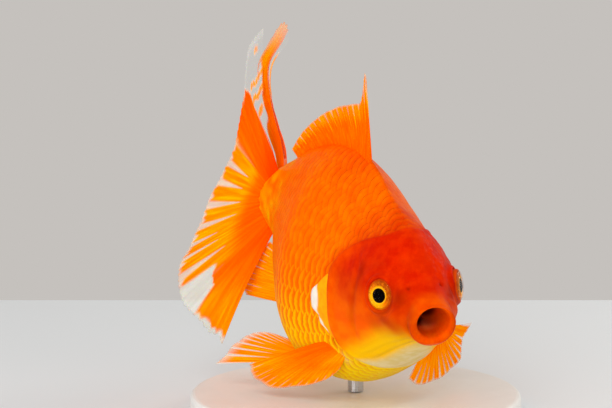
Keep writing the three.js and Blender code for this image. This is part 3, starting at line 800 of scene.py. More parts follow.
def head_relief(p, normal):
    """How far the skin stands off the body on the head: the gill covers, eyes and snout, and a crown
    roughened by two sizes of noise, more so on its left."""
    back, up = p[..., 1], p[..., 2]
    ahead = ahead_of_edge(p)
    rise = cover_relief(back, up, ahead) + snout_relief(p, normal, ahead)
    for sign in (1, -1):
        rise += eye_relief(p, normal, sign)
    top = ramp(up, 5, 12) * ramp(ahead, -1, 2) * (0.45 + 0.55 * ramp(p[..., 0], 0, 4))
    lumps = noise(p, 1.15, 3) + (0.6 + 0.5 * ramp(p[..., 0], 1, 4)) * noise(p, 0.62, 4)
    return rise + 0.085 * top * lumps + 0.05 * noise(p, 3.5, 5) * ramp(back, 3, 6)


# The skin's rings: in the mouth, on the head, on the trunk and round the stalk's end; and the points
# in each ring.
MOUTH_RINGS, HEAD_RINGS, TRUNK_RINGS, END_RINGS, AROUND = 64, 140, 70, 12, 300
LIPS_END, TRUNK_START = 0.9, 34


def path_points():
    """Places along the skin's path: distance behind the lips, share of the section, the section's
    own place, and how far the ring is raised. The mouth and stalk ends follow their knots by length."""
    def along(knots, count):
        """Knots smoothed at even steps of length, a whole share counting as 6 mm."""
        table = np.array(knots)
        steps = np.hypot(np.diff(table[:, 0]), 6 * np.diff(table[:, 1]))
        lengths = np.concatenate([[0], np.cumsum(steps)])
        at = np.linspace(0, lengths[-1], count)
        return [smooth(at, list(zip(lengths, column))) for column in table.T]

    mouth = along(MOUTH, MOUTH_RINGS)
    head = np.linspace(LIPS_END, TRUNK_START, HEAD_RINGS)[1:]
    trunk = np.linspace(TRUNK_START, BODY_LENGTH, TRUNK_RINGS)[1:]
    end_back, end_share = [part[1:] for part in along(STALK_END, END_RINGS)]
    rest = len(head) + len(trunk)
    back = np.concatenate([mouth[0], head, trunk, end_back])
    share = np.concatenate([mouth[1], np.ones(rest), end_share])
    own = LIPS_END * ramp(np.arange(MOUTH_RINGS), MOUTH_RINGS - 6, MOUTH_RINGS - 1)
    section = np.concatenate([own, head, trunk, np.full(len(end_back), BODY_LENGTH)])
    raised = np.concatenate([mouth[2], np.zeros(rest + len(end_back))])
    return back, share, section, raised


def skin_marks(straight, grid, back, share, turn, in_mouth, tongue):
    """The markings with painted shade: dark in the mouth, deepest towards its floor, round the eyes'
    sockets and in crescents ahead of and under them, in the nostrils and at the mouth corners; and the
    crown's bumps."""
    marks = markings(straight)
    # The mouth's wall is set redder, with some painted shade.
    wall = in_mouth * ramp(share, 0.74, 0.66)
    for name, level in (("crown", 0.5), ("gold", 0.0), ("cream", 0.0), ("dusk", 0.3)):
        marks[name] = marks[name] * (1 - wall) + level * wall
    marks["cream"] = np.maximum(marks["cream"], 0.35 * tongue)
    # Painted shade round each eye: darker inside the socket's rim, and a crescent ahead of and under the
    # eye.
    socket = np.zeros(grid.shape[:2])
    for sign in (1, -1):
        far, height = eye_distance(grid, sign)
        middle, _, side, over = eye_frame(sign)
        ahead_of_eye = -(grid - middle) @ (side * -sign) / np.maximum(far, 0.1)
        below_eye = -(grid - middle) @ over / np.maximum(far, 0.1)
        seen = ramp(height, -4, -3)
        socket = np.maximum(socket, 0.6 * ramp(far, EYE_RADIUS + 0.05, EYE_RADIUS - 0.3) * seen)
        crescent = np.clip(0.25 + 0.45 * ahead_of_eye + 0.35 * below_eye, 0, 1)
        marks["dusk"] = np.maximum(marks["dusk"], crescent * hill(far, EYE_RADIUS + 0.7, 0.9) * seen)
    # Dark painted shade in the mouth, starting deeper in on its floor side; in the nostrils' pits, at the
    # mouth corners and inside the eyes' sockets.
    floor_side = hill((turn - 130) % 360, 180, 80)
    deep = in_mouth * ramp(back - 6.5 * floor_side, 1.8, 5.4)
    corner = 0.8 * blob(grid, MOUTH_CORNER, (1.2, 0.7, 1.2))
    marks["hollow"] = np.maximum.reduce([0.95 * deep, 0.45 * blob(grid, NOSTRIL, 0.45), corner, socket])
    far_nape = ramp(grid[..., 0], 1.5, 4) * ramp(grid[..., 2], 6, 9)
    marks["gloss"] = 0.05 * far_nape * ramp(back, 10, 13) * ramp(back, 24, 18)
    marks["bumps"] = ramp(straight[..., 2], 3, 12) * ramp(ahead_of_edge(straight), -1, 2)
    return marks


def make_skin():
    """One closed skin from the bottom of the mouth, out over the lips and back to the stalk's end:
    the body's surface moved along its normal by the head's relief, a tongue and fine lip folds."""
    back, share, section, raised = [column[:, None] for column in path_points()]
    turn = np.arange(AROUND)[None, :] * 360 / AROUND
    grid = body_point(section, turn, 0, share)
    grid[..., 0] *= 1 - 0.06 * ramp(share, 0.95, 0.75)
    grid[..., 1] = back
    grid[..., 2] += raised
    normal = grid_normals(grid, True)
    in_mouth = (np.arange(len(back)) < MOUTH_RINGS)[:, None]
    outer = np.where(in_mouth, ramp(share, 0.86, 0.99), 1)
    tongue = in_mouth * hill(turn, 270, 38) * ramp(share, 0.2, 0.4) * ramp(share, 0.64, 0.52)
    lip_folds = in_mouth * np.sin(np.radians(turn) * 22) * hill(share, 0.85, 0.07)
    rise = head_relief(grid, normal) * outer + 0.8 * tongue + 0.04 * lip_folds
    straight = grid + normal * rise[..., None]
    marks = skin_marks(straight, grid, back, share, turn, in_mouth, tongue)
    values = {k: np.concatenate([v.ravel(), [v[0].mean(), v[-1].mean()]]) for k, v in marks.items()}
    rows = len(back)
    unwrap = np.broadcast_arrays(0.02 + 0.96 * np.arange(rows)[:, None] / rows, turn / 366 + 0.01)
    unwrap = np.concatenate([np.stack(unwrap, -1).reshape(-1, 2), [[0.015, 0.5], [0.985, 0.5]]])
    points, faces = closed_rings(straight)
    made = make_piece("skin", placed(points), faces, SKIN, values, {"OFBake": unwrap})
    keep(
        made, "skin_red", "head", "upper_lip", "lower_lip", "gill_cover_left", "gill_cover_right",
        "trunk", "tail_stalk",
    )


# Scales -----------------------------------------------------------------------------------------


def girth_tables():
    """Down one flank from the ridge to the keel: at each distance back, the turn for each share of
    the girth's length, and that length."""
    backs = np.linspace(8, 81, 147)
    turns = np.linspace(90, -90, 361)
    line = body_point(backs[:, None], turns[None, :])
    steps = np.linalg.norm(np.diff(line, axis=1), axis=-1)
    lengths = np.concatenate([np.zeros((len(backs), 1)), np.cumsum(steps, 1)], 1)
    shares = np.linspace(0, 1, 201)
    table = np.stack([np.interp(shares, row / row[-1], turns) for row in lengths])
    return backs, shares, table, lengths[:, -1]


BACKS, SHARES, TURNS, GIRTHS = girth_tables()


def turn_for(back, share):
    """The turn at a distance back and share of the way down the flank, read between table places."""
    i = np.clip((back - BACKS[0]) / (BACKS[1] - BACKS[0]), 0, len(BACKS) - 1.001)
    j = np.clip(share, 0, 1) / (SHARES[1] - SHARES[0])
    j = np.minimum(j, len(SHARES) - 1.001)
    a, b = np.floor(i).astype(int), np.floor(j).astype(int)
    s, t = i - a, j - b
    near = TURNS[a, b] * (1 - t) + TURNS[a, b + 1] * t
    far = TURNS[a + 1, b] * (1 - t) + TURNS[a + 1, b + 1] * t
    return near * (1 - s) + far * s


def scale_places():
    """Rear edges of the scales on one flank, as distance back and share down the girth: columns
    follow each other by the column pitch and every other row is half a column on."""
    backs = np.linspace(10, 82, 721)
    count = np.concatenate([[0], np.cumsum(np.diff(backs) / smooth(backs[1:], COLUMN_PITCH))])
    row, column = np.meshgrid(np.arange(SCALE_ROWS), np.arange(int(count[-1]) + 1), indexing="ij")
    steps = column + 0.5 * (row % 2)
    back = np.interp(steps.ravel(), count, backs)
    share = (row.ravel() + 0.5) / SCALE_ROWS
    centre = body_point(back, turn_for(back, share))
    keep_it = (ahead_of_edge(centre) < -0.9) & (back < 81) & (steps.ravel() < count[-1])
    return back[keep_it], share[keep_it]


def scale_points(rng, back, share, sign):
    """The points of a flank's scales, each a grid and one point under it, and the grid's shape."""
    u, v = np.meshgrid([0.0, 0.34, 0.62, 0.84, 0.955, 1.0], np.linspace(-1, 1, 8), indexing="ij")
    girth = np.interp(back, BACKS, GIRTHS)[:, None, None]
    height = girth / SCALE_ROWS
    size = 1 + rng.uniform(-0.04, 0.04, (len(back), 1, 1))
    length = np.minimum(2.45 * smooth(back, COLUMN_PITCH)[:, None, None], 1.5 * height) * size
    outline = np.sqrt(1 - ((u - 0.7) / 0.9) ** 2)
    x = length * (u - 1 - 0.6 * v**2 * u)
    y = 0.95 * height * size * v * outline
    skew = rng.uniform(-0.03, 0.03, (len(back), 1, 1))
    at_back = back[:, None, None] + x + skew * y
    at_share = share[:, None, None] + y / girth
    lift = -0.19 + 0.2 * u**0.9 - 0.13 * v**2 - 0.02 * ramp(u, 0.95, 1.0)
    lift = lift + rng.uniform(-0.008, 0.008, (len(back), 1, 1))
    turn = turn_for(at_back, 1 - np.abs(1 - np.abs(at_share)))
    turn = np.where(at_share < 0, 180 - turn, np.where(at_share > 1, -180 - turn, turn))
    turn = turn if sign > 0 else 180 - turn
    middle_back, middle_turn, middle_lift = [each[:, 2, 3:5].mean(-1) for each in (at_back, turn, lift)]
    under = body_point(middle_back, middle_turn, middle_lift - 0.1)
    tops = body_point(at_back, turn, lift).reshape(len(back), -1, 3)
    return np.concatenate([tops, under[:, None, :]], 1), u, v


def make_scales(side, sign):
    """All scales of one flank in one mesh. Each is a domed plate nearly two rows high: its sides are an
    arc of an ellipse, its rear edge is a parabola, and it lies from under the scales in front at the
    root up to the coat's outside at the rear edge. Over ridge and keel the rows fold onto the other
    flank. The underside closes in a fan."""
    back, share = scale_places()
    points, u, v = scale_points(np.random.default_rng(11 if sign > 0 else 12), back, share, sign)
    rows, columns = u.shape
    count, each = points.shape[:2]
    points = points.reshape(-1, 3)
    ring = rim_of(rows, columns)
    fan = np.stack([np.roll(ring, -1), ring, 0 * ring + rows * columns], -1)
    fan = fan[:, ::-1] if sign > 0 else fan
    starts = (np.arange(count) * each)[:, None, None]
    faces = (sheet_faces(rows, columns, flip=sign > 0) + starts).reshape(-1, 4).tolist()
    faces += (fan + starts).reshape(-1, 3).tolist()
    values = markings(points)
    values["hollow"] = np.zeros(len(points))
    level = points[:, 2]
    flank = ramp(level, 14, -4) * (0.5 + 0.5 * ramp(level, 4, -12))
    values["crescent"] = np.clip(0.06 + 0.8 * flank * ramp(points[:, 1], 76, 64), 0, 1)
    own = np.concatenate([np.stack([u, (v + 1) / 2], -1).reshape(-1, 2), [[0.5, 0.5]]])
    own = np.broadcast_to(own, (count, each, 2))
    root = np.stack([0.02 + 0.94 * back / 85, (share if sign > 0 else 1 - share) * 0.94 + 0.03], -1)
    uvs = {"Scale": own, "OFBake": root[:, None, :] + (own - 0.5) * 0.003}
    keep(make_piece(f"scales_{side}", placed(points), faces, SCALES, values, uvs), "skin_orange")


# Fins -------------------------------------------------------------------------------------------


def spread_fin(fin, u, v):
    """A fin's middle surface: from root(v) a ray leaves at angle(v) from the first direction towards
    the second, turns by half of sweep(v) on its way, has length(v), and is lifted along the third."""
    first, second, third = fin["axes"](v)
    reach = smooth(v, fin["length"]) * u
    angle = np.radians(smooth(v, fin["angle"]) + smooth(v, fin["sweep"]) * u / 2)
    flat = first * (reach * np.cos(angle))[..., None] + second * (reach * np.sin(angle))[..., None]
    return fin["root"](v) + flat + third * fin["lift"](reach, u, v)[..., None]


def dorsal_place(v):
    """Distance back along the dorsal fin's root."""
    return 38.5 + 30.5 * v


def dorsal_root(v):
    """On the ridge of the bent back, a little under the skin."""
    return bent(body_point(dorsal_place(v), 90 + 0 * v)) + np.array([0, 0, -1.5])


def dorsal_axes(v):
    """Back, up and left along the bent ridge."""
    back, left, up = directions(dorsal_place(v))
    return back, up, left


DORSAL = {
    "angle": [[0, 90.5], [0.05, 90], [0.08, 87], [0.13, 80], [0.35, 63], [0.6, 50], [1, 48]],
    "length": [
        [0, 20.5], [0.012, 23.3], [0.026, 20.6], [0.04, 23.2], [0.055, 21.5], [0.07, 17.5],
        [0.09, 14.6], [0.13, 13.9], [0.2, 12.8], [0.35, 11.2], [0.6, 8.4], [0.8, 6.2], [1, 3.8],
    ],
    "sweep": [[0, 2], [1, 4]],
    "root": dorsal_root,
    "axes": dorsal_axes,
    "lift": lambda reach, u, v: (0.4 * np.sin(7 * v) - 1) * u * u,
}


def tail_fin(sign, shape):
    """Half of the double tail, its rays rooted down the end of the stalk; sign 1 is the left one."""
    back, left, up = directions(BODY_LENGTH)
    end = bent(np.array([0, BODY_LENGTH, 0.0]))

    def root(v):
        """Down the end of the stalk, on the fin's own side."""
        return (
            end
            + back * smooth(v, [[0, -4], [0.5, -0.5], [1, -3]])[..., None]
            + left * (sign * smooth(v, [[0, 1.1], [0.5, 2.6], [1, 1.6]]))[..., None]
            + up * smooth(v, [[0, 16.5], [0.5, 9.5], [1, 2.5]])[..., None]
        )

    def axes(v):
        """Outwards by the splay from straight back, up, and square to both."""
        splay = np.radians(smooth(v, shape["splay"]))[..., None]
        outwards = back * np.cos(splay) + sign * left * np.sin(splay)
        normal = left * np.cos(splay) - sign * back * np.sin(splay)
        return outwards, up, normal

    return {**shape, "root": root, "axes": axes}


TAIL_RIGHT = {
    "splay": [[0, 30], [1, 30]],
    "angle": [
        [0, 75], [0.12, 72], [0.25, 60], [0.38, 25], [0.5, -12], [0.6, -27], [0.75, -34],
        [0.88, -48], [0.94, -57], [1, -62],
    ],
    "length": [
        [0, 38.8], [0.03, 38.2], [0.06, 37.2], [0.09, 35.2], [0.12, 31], [0.15, 26.8], [0.18, 23.8],
        [0.3, 14.5], [0.4, 13.2], [0.5, 17], [0.6, 23], [0.72, 30.5], [0.84, 36.2], [0.9, 36.6],
        [0.94, 38], [0.97, 37], [1, 38.2],
    ],
    "sweep": [[0, 20], [0.12, 8], [0.3, 4], [0.5, 0], [0.8, -4], [1, -6]],
    "lift": lambda reach, u, v: -0.9 * np.sin(reach / 9),
}
TAIL_LEFT = {
    "splay": [[0, 20], [0.2, 22], [0.4, 42], [1, 44]],
    "angle": [
        [0, 88], [0.07, 82], [0.14, 76], [0.25, 60], [0.38, 25], [0.5, -12], [0.6, -27],
        [0.75, -34], [0.88, -46], [1, -58],
    ],
    "length": [
        [0, 36.5], [0.03, 39], [0.06, 40.3], [0.09, 39.5], [0.12, 35.5], [0.145, 25.5], [0.18, 22],
        [0.3, 15], [0.4, 13], [0.5, 16], [0.6, 22], [0.72, 28], [0.84, 33], [0.94, 33], [1, 34],
    ],
    "sweep": [[0, 18], [0.08, 6], [0.3, 4], [0.5, 0], [0.8, -4], [1, -14]],
    "lift": lambda reach, u, v: -smooth(
        reach, [[0, 0], [8, 0.1], [14, 1.6], [20, 3.6], [26, 4.6], [31, 4], [36, 0.6], [40, -1.6]]
    ) * hill(v, 0, 0.5),
}


def paired_fin(sign, shape):
    """A fin of a pair, rooted between two places on the flank, in the plane of two directions given
    as (back, outwards, up); sign 1 is the left one."""
    back, left, up = directions(shape["from"][0])

    def mix(parts):
        """A direction from its parts back, outwards and up."""
        return back * parts[0] + left * (sign * parts[1]) + up * parts[2]

    first = unit(mix(shape["first"]))
    second = mix(shape["second"])
    second = unit(second - first * (second @ first))
    third = np.cross(first, second) * sign

    def root(v):
        """On the flank from one place to the other, a little under the skin."""
        place = shape["from"][0] + (shape["to"][0] - shape["from"][0]) * v
        turn = shape["from"][1] + (shape["to"][1] - shape["from"][1]) * v
        on_skin = body_point(place, turn if sign > 0 else 180 - turn)
        return bent(on_skin * np.array([0.92, 1, 0.92]))

    def axes(v):
        """The same three directions all along the root."""
        return first, second, third

    return {**shape, "root": root, "axes": axes, "lift": lambda reach, u, v: 0 * reach}


PECTORAL_ROOT = {"from": [30.5, -24], "to": [27.5, -38]}
PECTORAL_RIGHT = {
    **PECTORAL_ROOT,
    "first": [1, 0.75, -0.15],
    "second": [0, -0.2, -1],
    "angle": [[0, 17], [0.3, 24], [0.7, 36], [1, 50]],
    "length": [[0, 29], [0.2, 30], [0.4, 28.5], [0.6, 23], [0.8, 16], [0.92, 11.5], [1, 7]],
    "sweep": [[0, 4], [1, 8]],
}
PECTORAL_LEFT = {
    **PECTORAL_ROOT,
    "first": [0.5, 1, 0.3],
    "second": [0, -0.3, -1],
    "angle": [
        [0, 51], [0.06, 54], [0.12, 57], [0.3, 65], [0.5, 76], [0.7, 97], [0.85, 120], [1, 150],
    ],
    "length": [[0, 18.3], [0.06, 17.3], [0.12, 18.5], [0.3, 20.5], [0.5, 18.5], [0.7, 15.5], [1, 13]],
    "sweep": [[0, -28], [0.06, -8], [1, 4]],
}
PELVIC = {
    "from": [46, -58],
    "to": [50, -64],
    "first": [1, 0.7, -0.1],
    "second": [0, -0.1, 1],
    "angle": [[0, -4], [0.2, 5], [0.4, 12], [0.7, 20], [1, 26]],
    "length": [[0, 30], [0.1, 27], [0.4, 22], [0.6, 19], [0.8, 15], [1, 9]],
    "sweep": [[0, -2], [1, 4]],
}
ANAL = {
    "from": [64, -80],
    "to": [71, -70],
    "first": [1, 0.12, -0.5],
    "second": [0.5, 0, 1],
    "angle": [[0, 18], [0.5, 24], [0.8, 36], [1, 50]],
    "length": [[0, 24], [0.25, 23], [0.5, 18.5], [0.75, 13.5], [1, 8]],
    "sweep": [[0, 4], [1, 4]],
}
ANAL_LEFT = {**ANAL, "first": [1, -0.05, -0.55]}


def ray_crest(v, u, rays, splits):
    """1 on the rays and 0 between them. Each ray is a cosine wave across the fin; it splits in two,
    and in two again, where the wave fades into one of twice the count."""
    waves = [0.5 - 0.5 * np.cos(2 * math.pi * rays * k * v) for k in (1, 2, 4)]
    first, second = ramp(u, splits[0], splits[0] + 0.18), ramp(u, splits[1], splits[1] + 0.18)
    return waves[0] * (1 - first) + waves[1] * first * (1 - second) + waves[2] * first * second


FIN_ROWS, FIN_COLUMNS_PER_RAY = 64, 20
# Half thicknesses of a fin's sheet at its root and past it.
ROOT_HALF, SHEET_HALF = 0.5, 0.09
FRAY = 0.03
SPLITS = (0.34, 0.66)


def make_fin(name, fin, rays, pattern, seed, spread=1.0):
    """A fin as a closed sheet: its middle surface moved out both ways by half a thickness that thins
    towards the margin and swells on the rays. The margin draws in between the ray tips, and the sheet
    waves gently across. spread crowds the rays towards the front."""
    shares = np.linspace(0, 1, rays * FIN_COLUMNS_PER_RAY + 1)
    u, v = np.meshgrid(np.linspace(0, 1, FIN_ROWS), shares**spread, indexing="ij")
    phase = v ** (1 / spread)
    across = phase[0]
    rng = np.random.default_rng(seed)
    tips = np.interp(across, np.linspace(0, 1, rays * 2 + 1), rng.uniform(0, 1, rays * 2 + 1))
    edge = 0.5 + 0.5 * np.cos(2 * math.pi * rays * 4 * across)
    inside = ramp(np.minimum(across, 1 - across), 0, 0.04)
    drawn = 1 - FRAY * (0.45 * edge + 0.55 * tips) * inside
    middle = spread_fin(fin, u * drawn, v)
    normal = grid_normals(middle, False)
    wave = 0.012 * np.sin(2 * math.pi * phase * 3.3 + seed) * u
    middle = middle + normal * (wave * smooth(v, fin["length"]))[..., None]
    crest = ray_crest(phase, u, rays, SPLITS)
    half = ROOT_HALF + (SHEET_HALF - ROOT_HALF) * np.minimum(1, 1.9 * u)
    half = half * (1 - 0.45 * ramp(u, 0.9, 1.0)) + crest * (0.1 - 0.05 * u)
    thick = normal * half[..., None]
    points, faces = closed_sheet(posed(middle + thick), posed(middle - thick))
    marks = {"ray": crest, **dict(zip(("pale", "clear", "deep", "gold"), pattern(u, phase)))}
    values = {key: np.tile(np.clip(value + 0 * u, 0, 1).ravel(), 2) for key, value in marks.items()}
    own = np.tile(np.stack([u, phase], -1).reshape(-1, 2), (2, 1))
    return make_piece(name, points, faces, FIN, values, {"Fin": own})


def gaps(u, v, rays, seed, begin, width):
    """Pale gaps between the rays: wedges that open at places drawn between two distances along the
    fin, and widen to a share of the rays' pitch at the margin."""
    starts = np.random.default_rng(seed).uniform(begin[0], begin[1], rays + 1)
    nearest = np.rint(v * rays)
    start = starts[nearest.astype(int)]
    opened = np.clip((u - start) / (1 - start), 0, 1)
    aside = 2 * np.abs(v * rays - nearest)
    wide = width * opened**0.7
    return ramp(aside, wide + 0.03, 0.5 * wide - 0.03) * ramp(opened, 0, 0.12)


def striped(
    rays, seed, begin, width, pale=0.85, clear=0.5, gold=(0.3, 0.7), deep=0.5, margin=0.95, low=0
):
    """A fin of golden-tipped rays with pale gaps and a pale margin, redder at its root, or golden
    there along its last rays."""
    def pattern(u, v):
        """How pale, clear, deep and golden the fin is, by the shares along a ray and across."""
        gap = gaps(u, v, rays, seed, begin, width)
        inner = gaps(u, v, rays, seed, (begin[0] - 0.25, begin[1] - 0.2), width)
        golden = np.maximum(ramp(u, *gold) * 0.8, 0.9 * inner)
        golden = np.maximum(golden, low * ramp(v, 0.35, 0.9) * ramp(u, 0.9, 0.2))
        paled = np.maximum(pale * gap, 0.7 * ramp(u, margin, 1.0))
        return paled, clear, deep * ramp(u, 0.45, 0.0), golden
    return pattern


# The tail's markings, as shares: u along a ray and v across the fin. Where each ray's solid orange
# ends above; the two edges of the clear patch before the lower lobe; and the golden streaks.
WEDGE_END = [
    (0, 0.17), (0.025, 0.25), (0.068, 0.38), (0.095, 0.5), (0.113, 0.63), (0.122, 0.77), (0.15, 0.95),
]
PATCH_ABOVE = [(0.5, 0.82), (0.68, 0.812), (1.0, 0.8)]
PATCH_BELOW = [(0.5, 0.82), (0.64, 0.838), (0.7, 0.876), (1.0, 0.888)]
OUTER_STREAK = [(0.025, 0.72), (0.068, 0.705), (0.113, 0.78)]
INNER_STREAK = [(0.02, 0.62), (0.062, 0.605), (0.107, 0.67)]


def tail_pattern(u, v):
    """A solid orange wedge above, clear behind a line that leaves its leading edge, with a few golden
    streaks across the clear skin; golden rays with pale gaps in the middle; a clear patch before the
    orange lower lobe; a pale margin that wanders by two sine waves."""
    wedge_end = polyline(v, WEDGE_END)
    tip = ramp(u, wedge_end - 0.01, wedge_end + 0.04) * ramp(v, 0.2, 0.15)
    middle = ramp(v, 0.26, 0.3) * ramp(v, 0.86, 0.81)
    gap = gaps(u, v + 0.012, 14, 5, (0.38, 0.6), 0.52) * middle
    above, below = polyline(u, PATCH_ABOVE), polyline(u, PATCH_BELOW)
    patch = ramp(v, above - 0.006, above + 0.006) * ramp(v, below + 0.006, below - 0.006)
    patch = patch * ramp(u, 0.56, 0.62)
    wander = 0.022 * np.sin(97 * v) + 0.016 * np.sin(233 * v + 1)
    edge = ramp(u + wander, 0.935, 0.99) * ramp(v, 0.25, 0.3)
    edge = edge + ramp(u, 0.93, 0.97) * hill(v, 0.935, 0.035)
    streak = np.maximum.reduce([
        0.5 * hill(u, polyline(v, OUTER_STREAK), 0.028),
        0.7 * hill(u, polyline(v, INNER_STREAK), 0.024),
        0.8 * hill(u, 0.5, 0.03) * hill(v, 0.05, 0.04),
        0.5 * hill(u, 0.91, 0.035) * hill(v, 0.043, 0.014),
    ])
    streak = ramp(streak * ramp(v, 0.14, 0.1) * (0.8 + 0.2 * np.sin(260 * v)), 0.08, 0.42)
    pale = np.maximum.reduce([0.85 * gap, patch, tip * (1 - 0.85 * streak), 0.85 * edge])
    clear = 0.55 + tip * (0.425 - 0.1 * ramp(u, 0.93, 0.97)) + 0.02 * patch
    lobe = ramp(v, 0.84, 0.94) * ramp(u, 0.4, 0.85)
    gold = middle * ramp(u, 0.25, 0.5) * (1 - 0.2 * ramp(v, 0.7, 0.85)) + lobe
    above_gap = ramp(v, 0.3, 0.2)
    deep = ramp(u, 0.5, 0.0) * (0.3 + 0.3 * (above_gap + ramp(v, 0.86, 0.9)))
    deep = (deep + 0.3 * ramp(v, 0.28, 0.2)) * (1 - tip)
    return pale, clear, deep, np.maximum.reduce([gold, ramp(pale, 0.1, 0.5), tip])


# The far tail's strand: across the fin, its front and rear edges along the rays; and how far along
# each ray the solid part near the root reaches.
STRAND_FRONT = [
    (0, 0), (0.1, 0), (0.2, 0.045), (0.3, 0.055), (0.4, 0.04), (0.5, 0.018), (0.6, 0.01), (0.7, 0.02),
    (1, 0.03),
]
STRAND_REAR = [
    (0, 0.3), (0.55, 0.105), (0.6, 0.086), (0.7, 0.075), (0.8, 0.1), (0.9, 0.125), (1, 0.14),
]
STRAND_ROOT = [(0.07, 0.58), (0.12, 0.64), (0.2, 0.76), (0.33, 0.95)]


def strand_pattern(u, v):
    """As the other half of the tail, but its upper lobe is solid only near the root and along a
    strand, golden and clear at its tip; a thin golden line follows the leading edge beside it."""
    pale, clear, deep, gold = tail_pattern(u, v)
    upper = ramp(v, 0.36, 0.3)
    front, rear, limit = polyline(u, STRAND_FRONT), polyline(u, STRAND_REAR), polyline(v, STRAND_ROOT)
    near_root = ramp(u, limit + 0.03, limit - 0.03)
    solid = np.maximum(ramp(v, rear + 0.006, rear - 0.006), near_root * ramp(v, 0.05, 0.08))
    solid = solid * ramp(v, front - 0.004, front + 0.004)
    line = 0.8 * ramp(v, 0.009, 0.004) * ramp(u, 0.55, 0.62) * ramp(u, 0.93, 0.86)
    solid = np.maximum(solid, line)
    pale = pale * (1 - upper) + upper * np.maximum(1 - solid, 0.55 * solid * ramp(u, 0.78, 1.0))
    clear = clear * (1 - upper) + upper * np.where(solid > 0.5, 0.95, 0.975)
    golden = solid * (0.15 * ramp(u, 0.1, 0.4) + 0.4 * ramp(u, 0.5, 0.8) + 0.4 * ramp(u, 0.75, 0.92))
    gold = gold * (1 - upper) + upper * np.maximum.reduce([golden, 1 - solid, line])
    return pale, clear, deep * (1 - upper), gold


def make_fins():
    """All nine fins, each standing for its CAD node. Each plan is a node, its fin, its count of rays,
    its markings and how far its rays crowd to the front."""
    dorsal = striped(16, 1, (0.7, 0.9), 0.4, pale=0.6, gold=(0.6, 0.95), deep=0.3, margin=0.96)
    near = striped(14, 4, (0.74, 0.92), 0.35, pale=0.6, clear=0.4, gold=(0.3, 0.9), deep=0.2, low=1.2)
    far = striped(13, 5, (0.5, 0.75), 0.5, pale=0.9, clear=0.6, gold=(0.1, 0.7), deep=0.2)
    plans = [
        ("dorsal_fin", DORSAL, 16, dorsal, 1.35),
        ("tail_fin_right", tail_fin(-1, TAIL_RIGHT), 14, tail_pattern, 1.0),
        ("tail_fin_left", tail_fin(1, TAIL_LEFT), 14, strand_pattern, 1.0),
        ("pectoral_fin_right", paired_fin(-1, PECTORAL_RIGHT), 14, near, 1.0),
        ("pectoral_fin_left", paired_fin(1, PECTORAL_LEFT), 13, far, 1.0),
    ]
    for side, sign, seed in (("right", -1, 6), ("left", 1, 7)):
        pelvic = striped(
            10, seed, (0.4, 0.7), 0.5, pale=0.9, clear=0.55, gold=(0.0, 0.4), deep=0.1, margin=0.85
        )
        plans.append((f"pelvic_fin_{side}", paired_fin(sign, PELVIC), 10, pelvic, 1.0))
    for side, sign, shape, seed in (("right", -1, ANAL, 8), ("left", 1, ANAL_LEFT, 9)):
        anal = striped(9, seed, (0.6, 0.85), 0.35, pale=0.7, clear=0.4, gold=(0.0, 0.5), deep=0.2)
        plans.append((f"anal_fin_{side}", paired_fin(sign, shape), 9, anal, 1.0))
    for number, (node, fin, rays, pattern, spread) in enumerate(plans):
        keep(make_fin(f"{node}_rays", fin, rays, pattern, number + 20, spread), "fin", node)


# Gill membranes and eyes ------------------------------------------------------------------------


def make_gill_membrane(side, sign):
    """The soft flap behind a gill cover: a closed sheet from under the cover's rim to a margin that
    reaches furthest behind the widest place of the edge, 0.16 mm thick and gently rippled."""
    lowest, highest = GILL_MARGIN[0][0], GILL_MARGIN[-1][0]
    z, s = np.meshgrid(np.linspace(lowest, highest, 90), np.linspace(0, 1, 18), indexing="ij")
    reach = smooth(z, GILL_MARGIN) + GILL_TUCK
    back = smooth(z, HEAD_EDGE) - GILL_TUCK + s * reach
    turn = turn_at(back, z)
    turn = turn if sign > 0 else 180 - turn
    rise = -0.16 + 0.3 * ramp(s, 0, 0.3) - 0.1 * ramp(s, 0.85, 1.0) + 0.03 * np.sin(z * 2.2) * s
    upper, lower = body_point(back, turn, rise), body_point(back, turn, rise - 0.16)
    points, faces = closed_sheet(upper, lower, flip=sign > 0)
    width = smooth(z, GILL_WHITE)
    pale = ramp((1 - s) * reach, width + 0.25, width - 0.25) * ramp(width, 0.02, 0.3)
    values = {"pale": np.tile(pale.ravel(), 2)}
    made = make_piece(f"gill_membrane_{side}", placed(points), faces, MEMBRANE, values)
    keep(made, "skin_orange")


# Half an eyeball's section from the front: distance from its axis, height over the rim's middle. A
# lens in the pupil, a raised ring round it, an iris that slopes to the rim, and a round back.
EYEBALL = [
    (0.25, 0.5), (0.7, 0.48), (1.15, 0.42), (1.5, 0.32), (1.68, 0.22), (1.76, 0.17), (1.84, 0.24),
    (1.95, 0.28), (2.1, 0.26), (2.45, 0.2), (2.9, 0.1), (3.3, 0.0), (3.62, -0.15), (3.8, -0.5),
    (3.75, -1.2), (3.4, -2.4), (2.6, -3.4), (1.4, -4.1), (0.4, -4.4),
]
EYE_AROUND = 64


def turned_about(sign, radii, heights):
    """Rings of points round the eye's axis at those radii and heights over the rim's middle."""
    middle, look, side, over = eye_frame(sign)
    angle = np.arange(EYE_AROUND) * 2 * math.pi / EYE_AROUND
    round_way = side * np.cos(angle)[:, None] + over * np.sin(angle)[:, None]
    radii, heights = [np.asarray(each)[:, None, None] for each in (radii, heights)]
    return middle + look * heights + round_way * radii


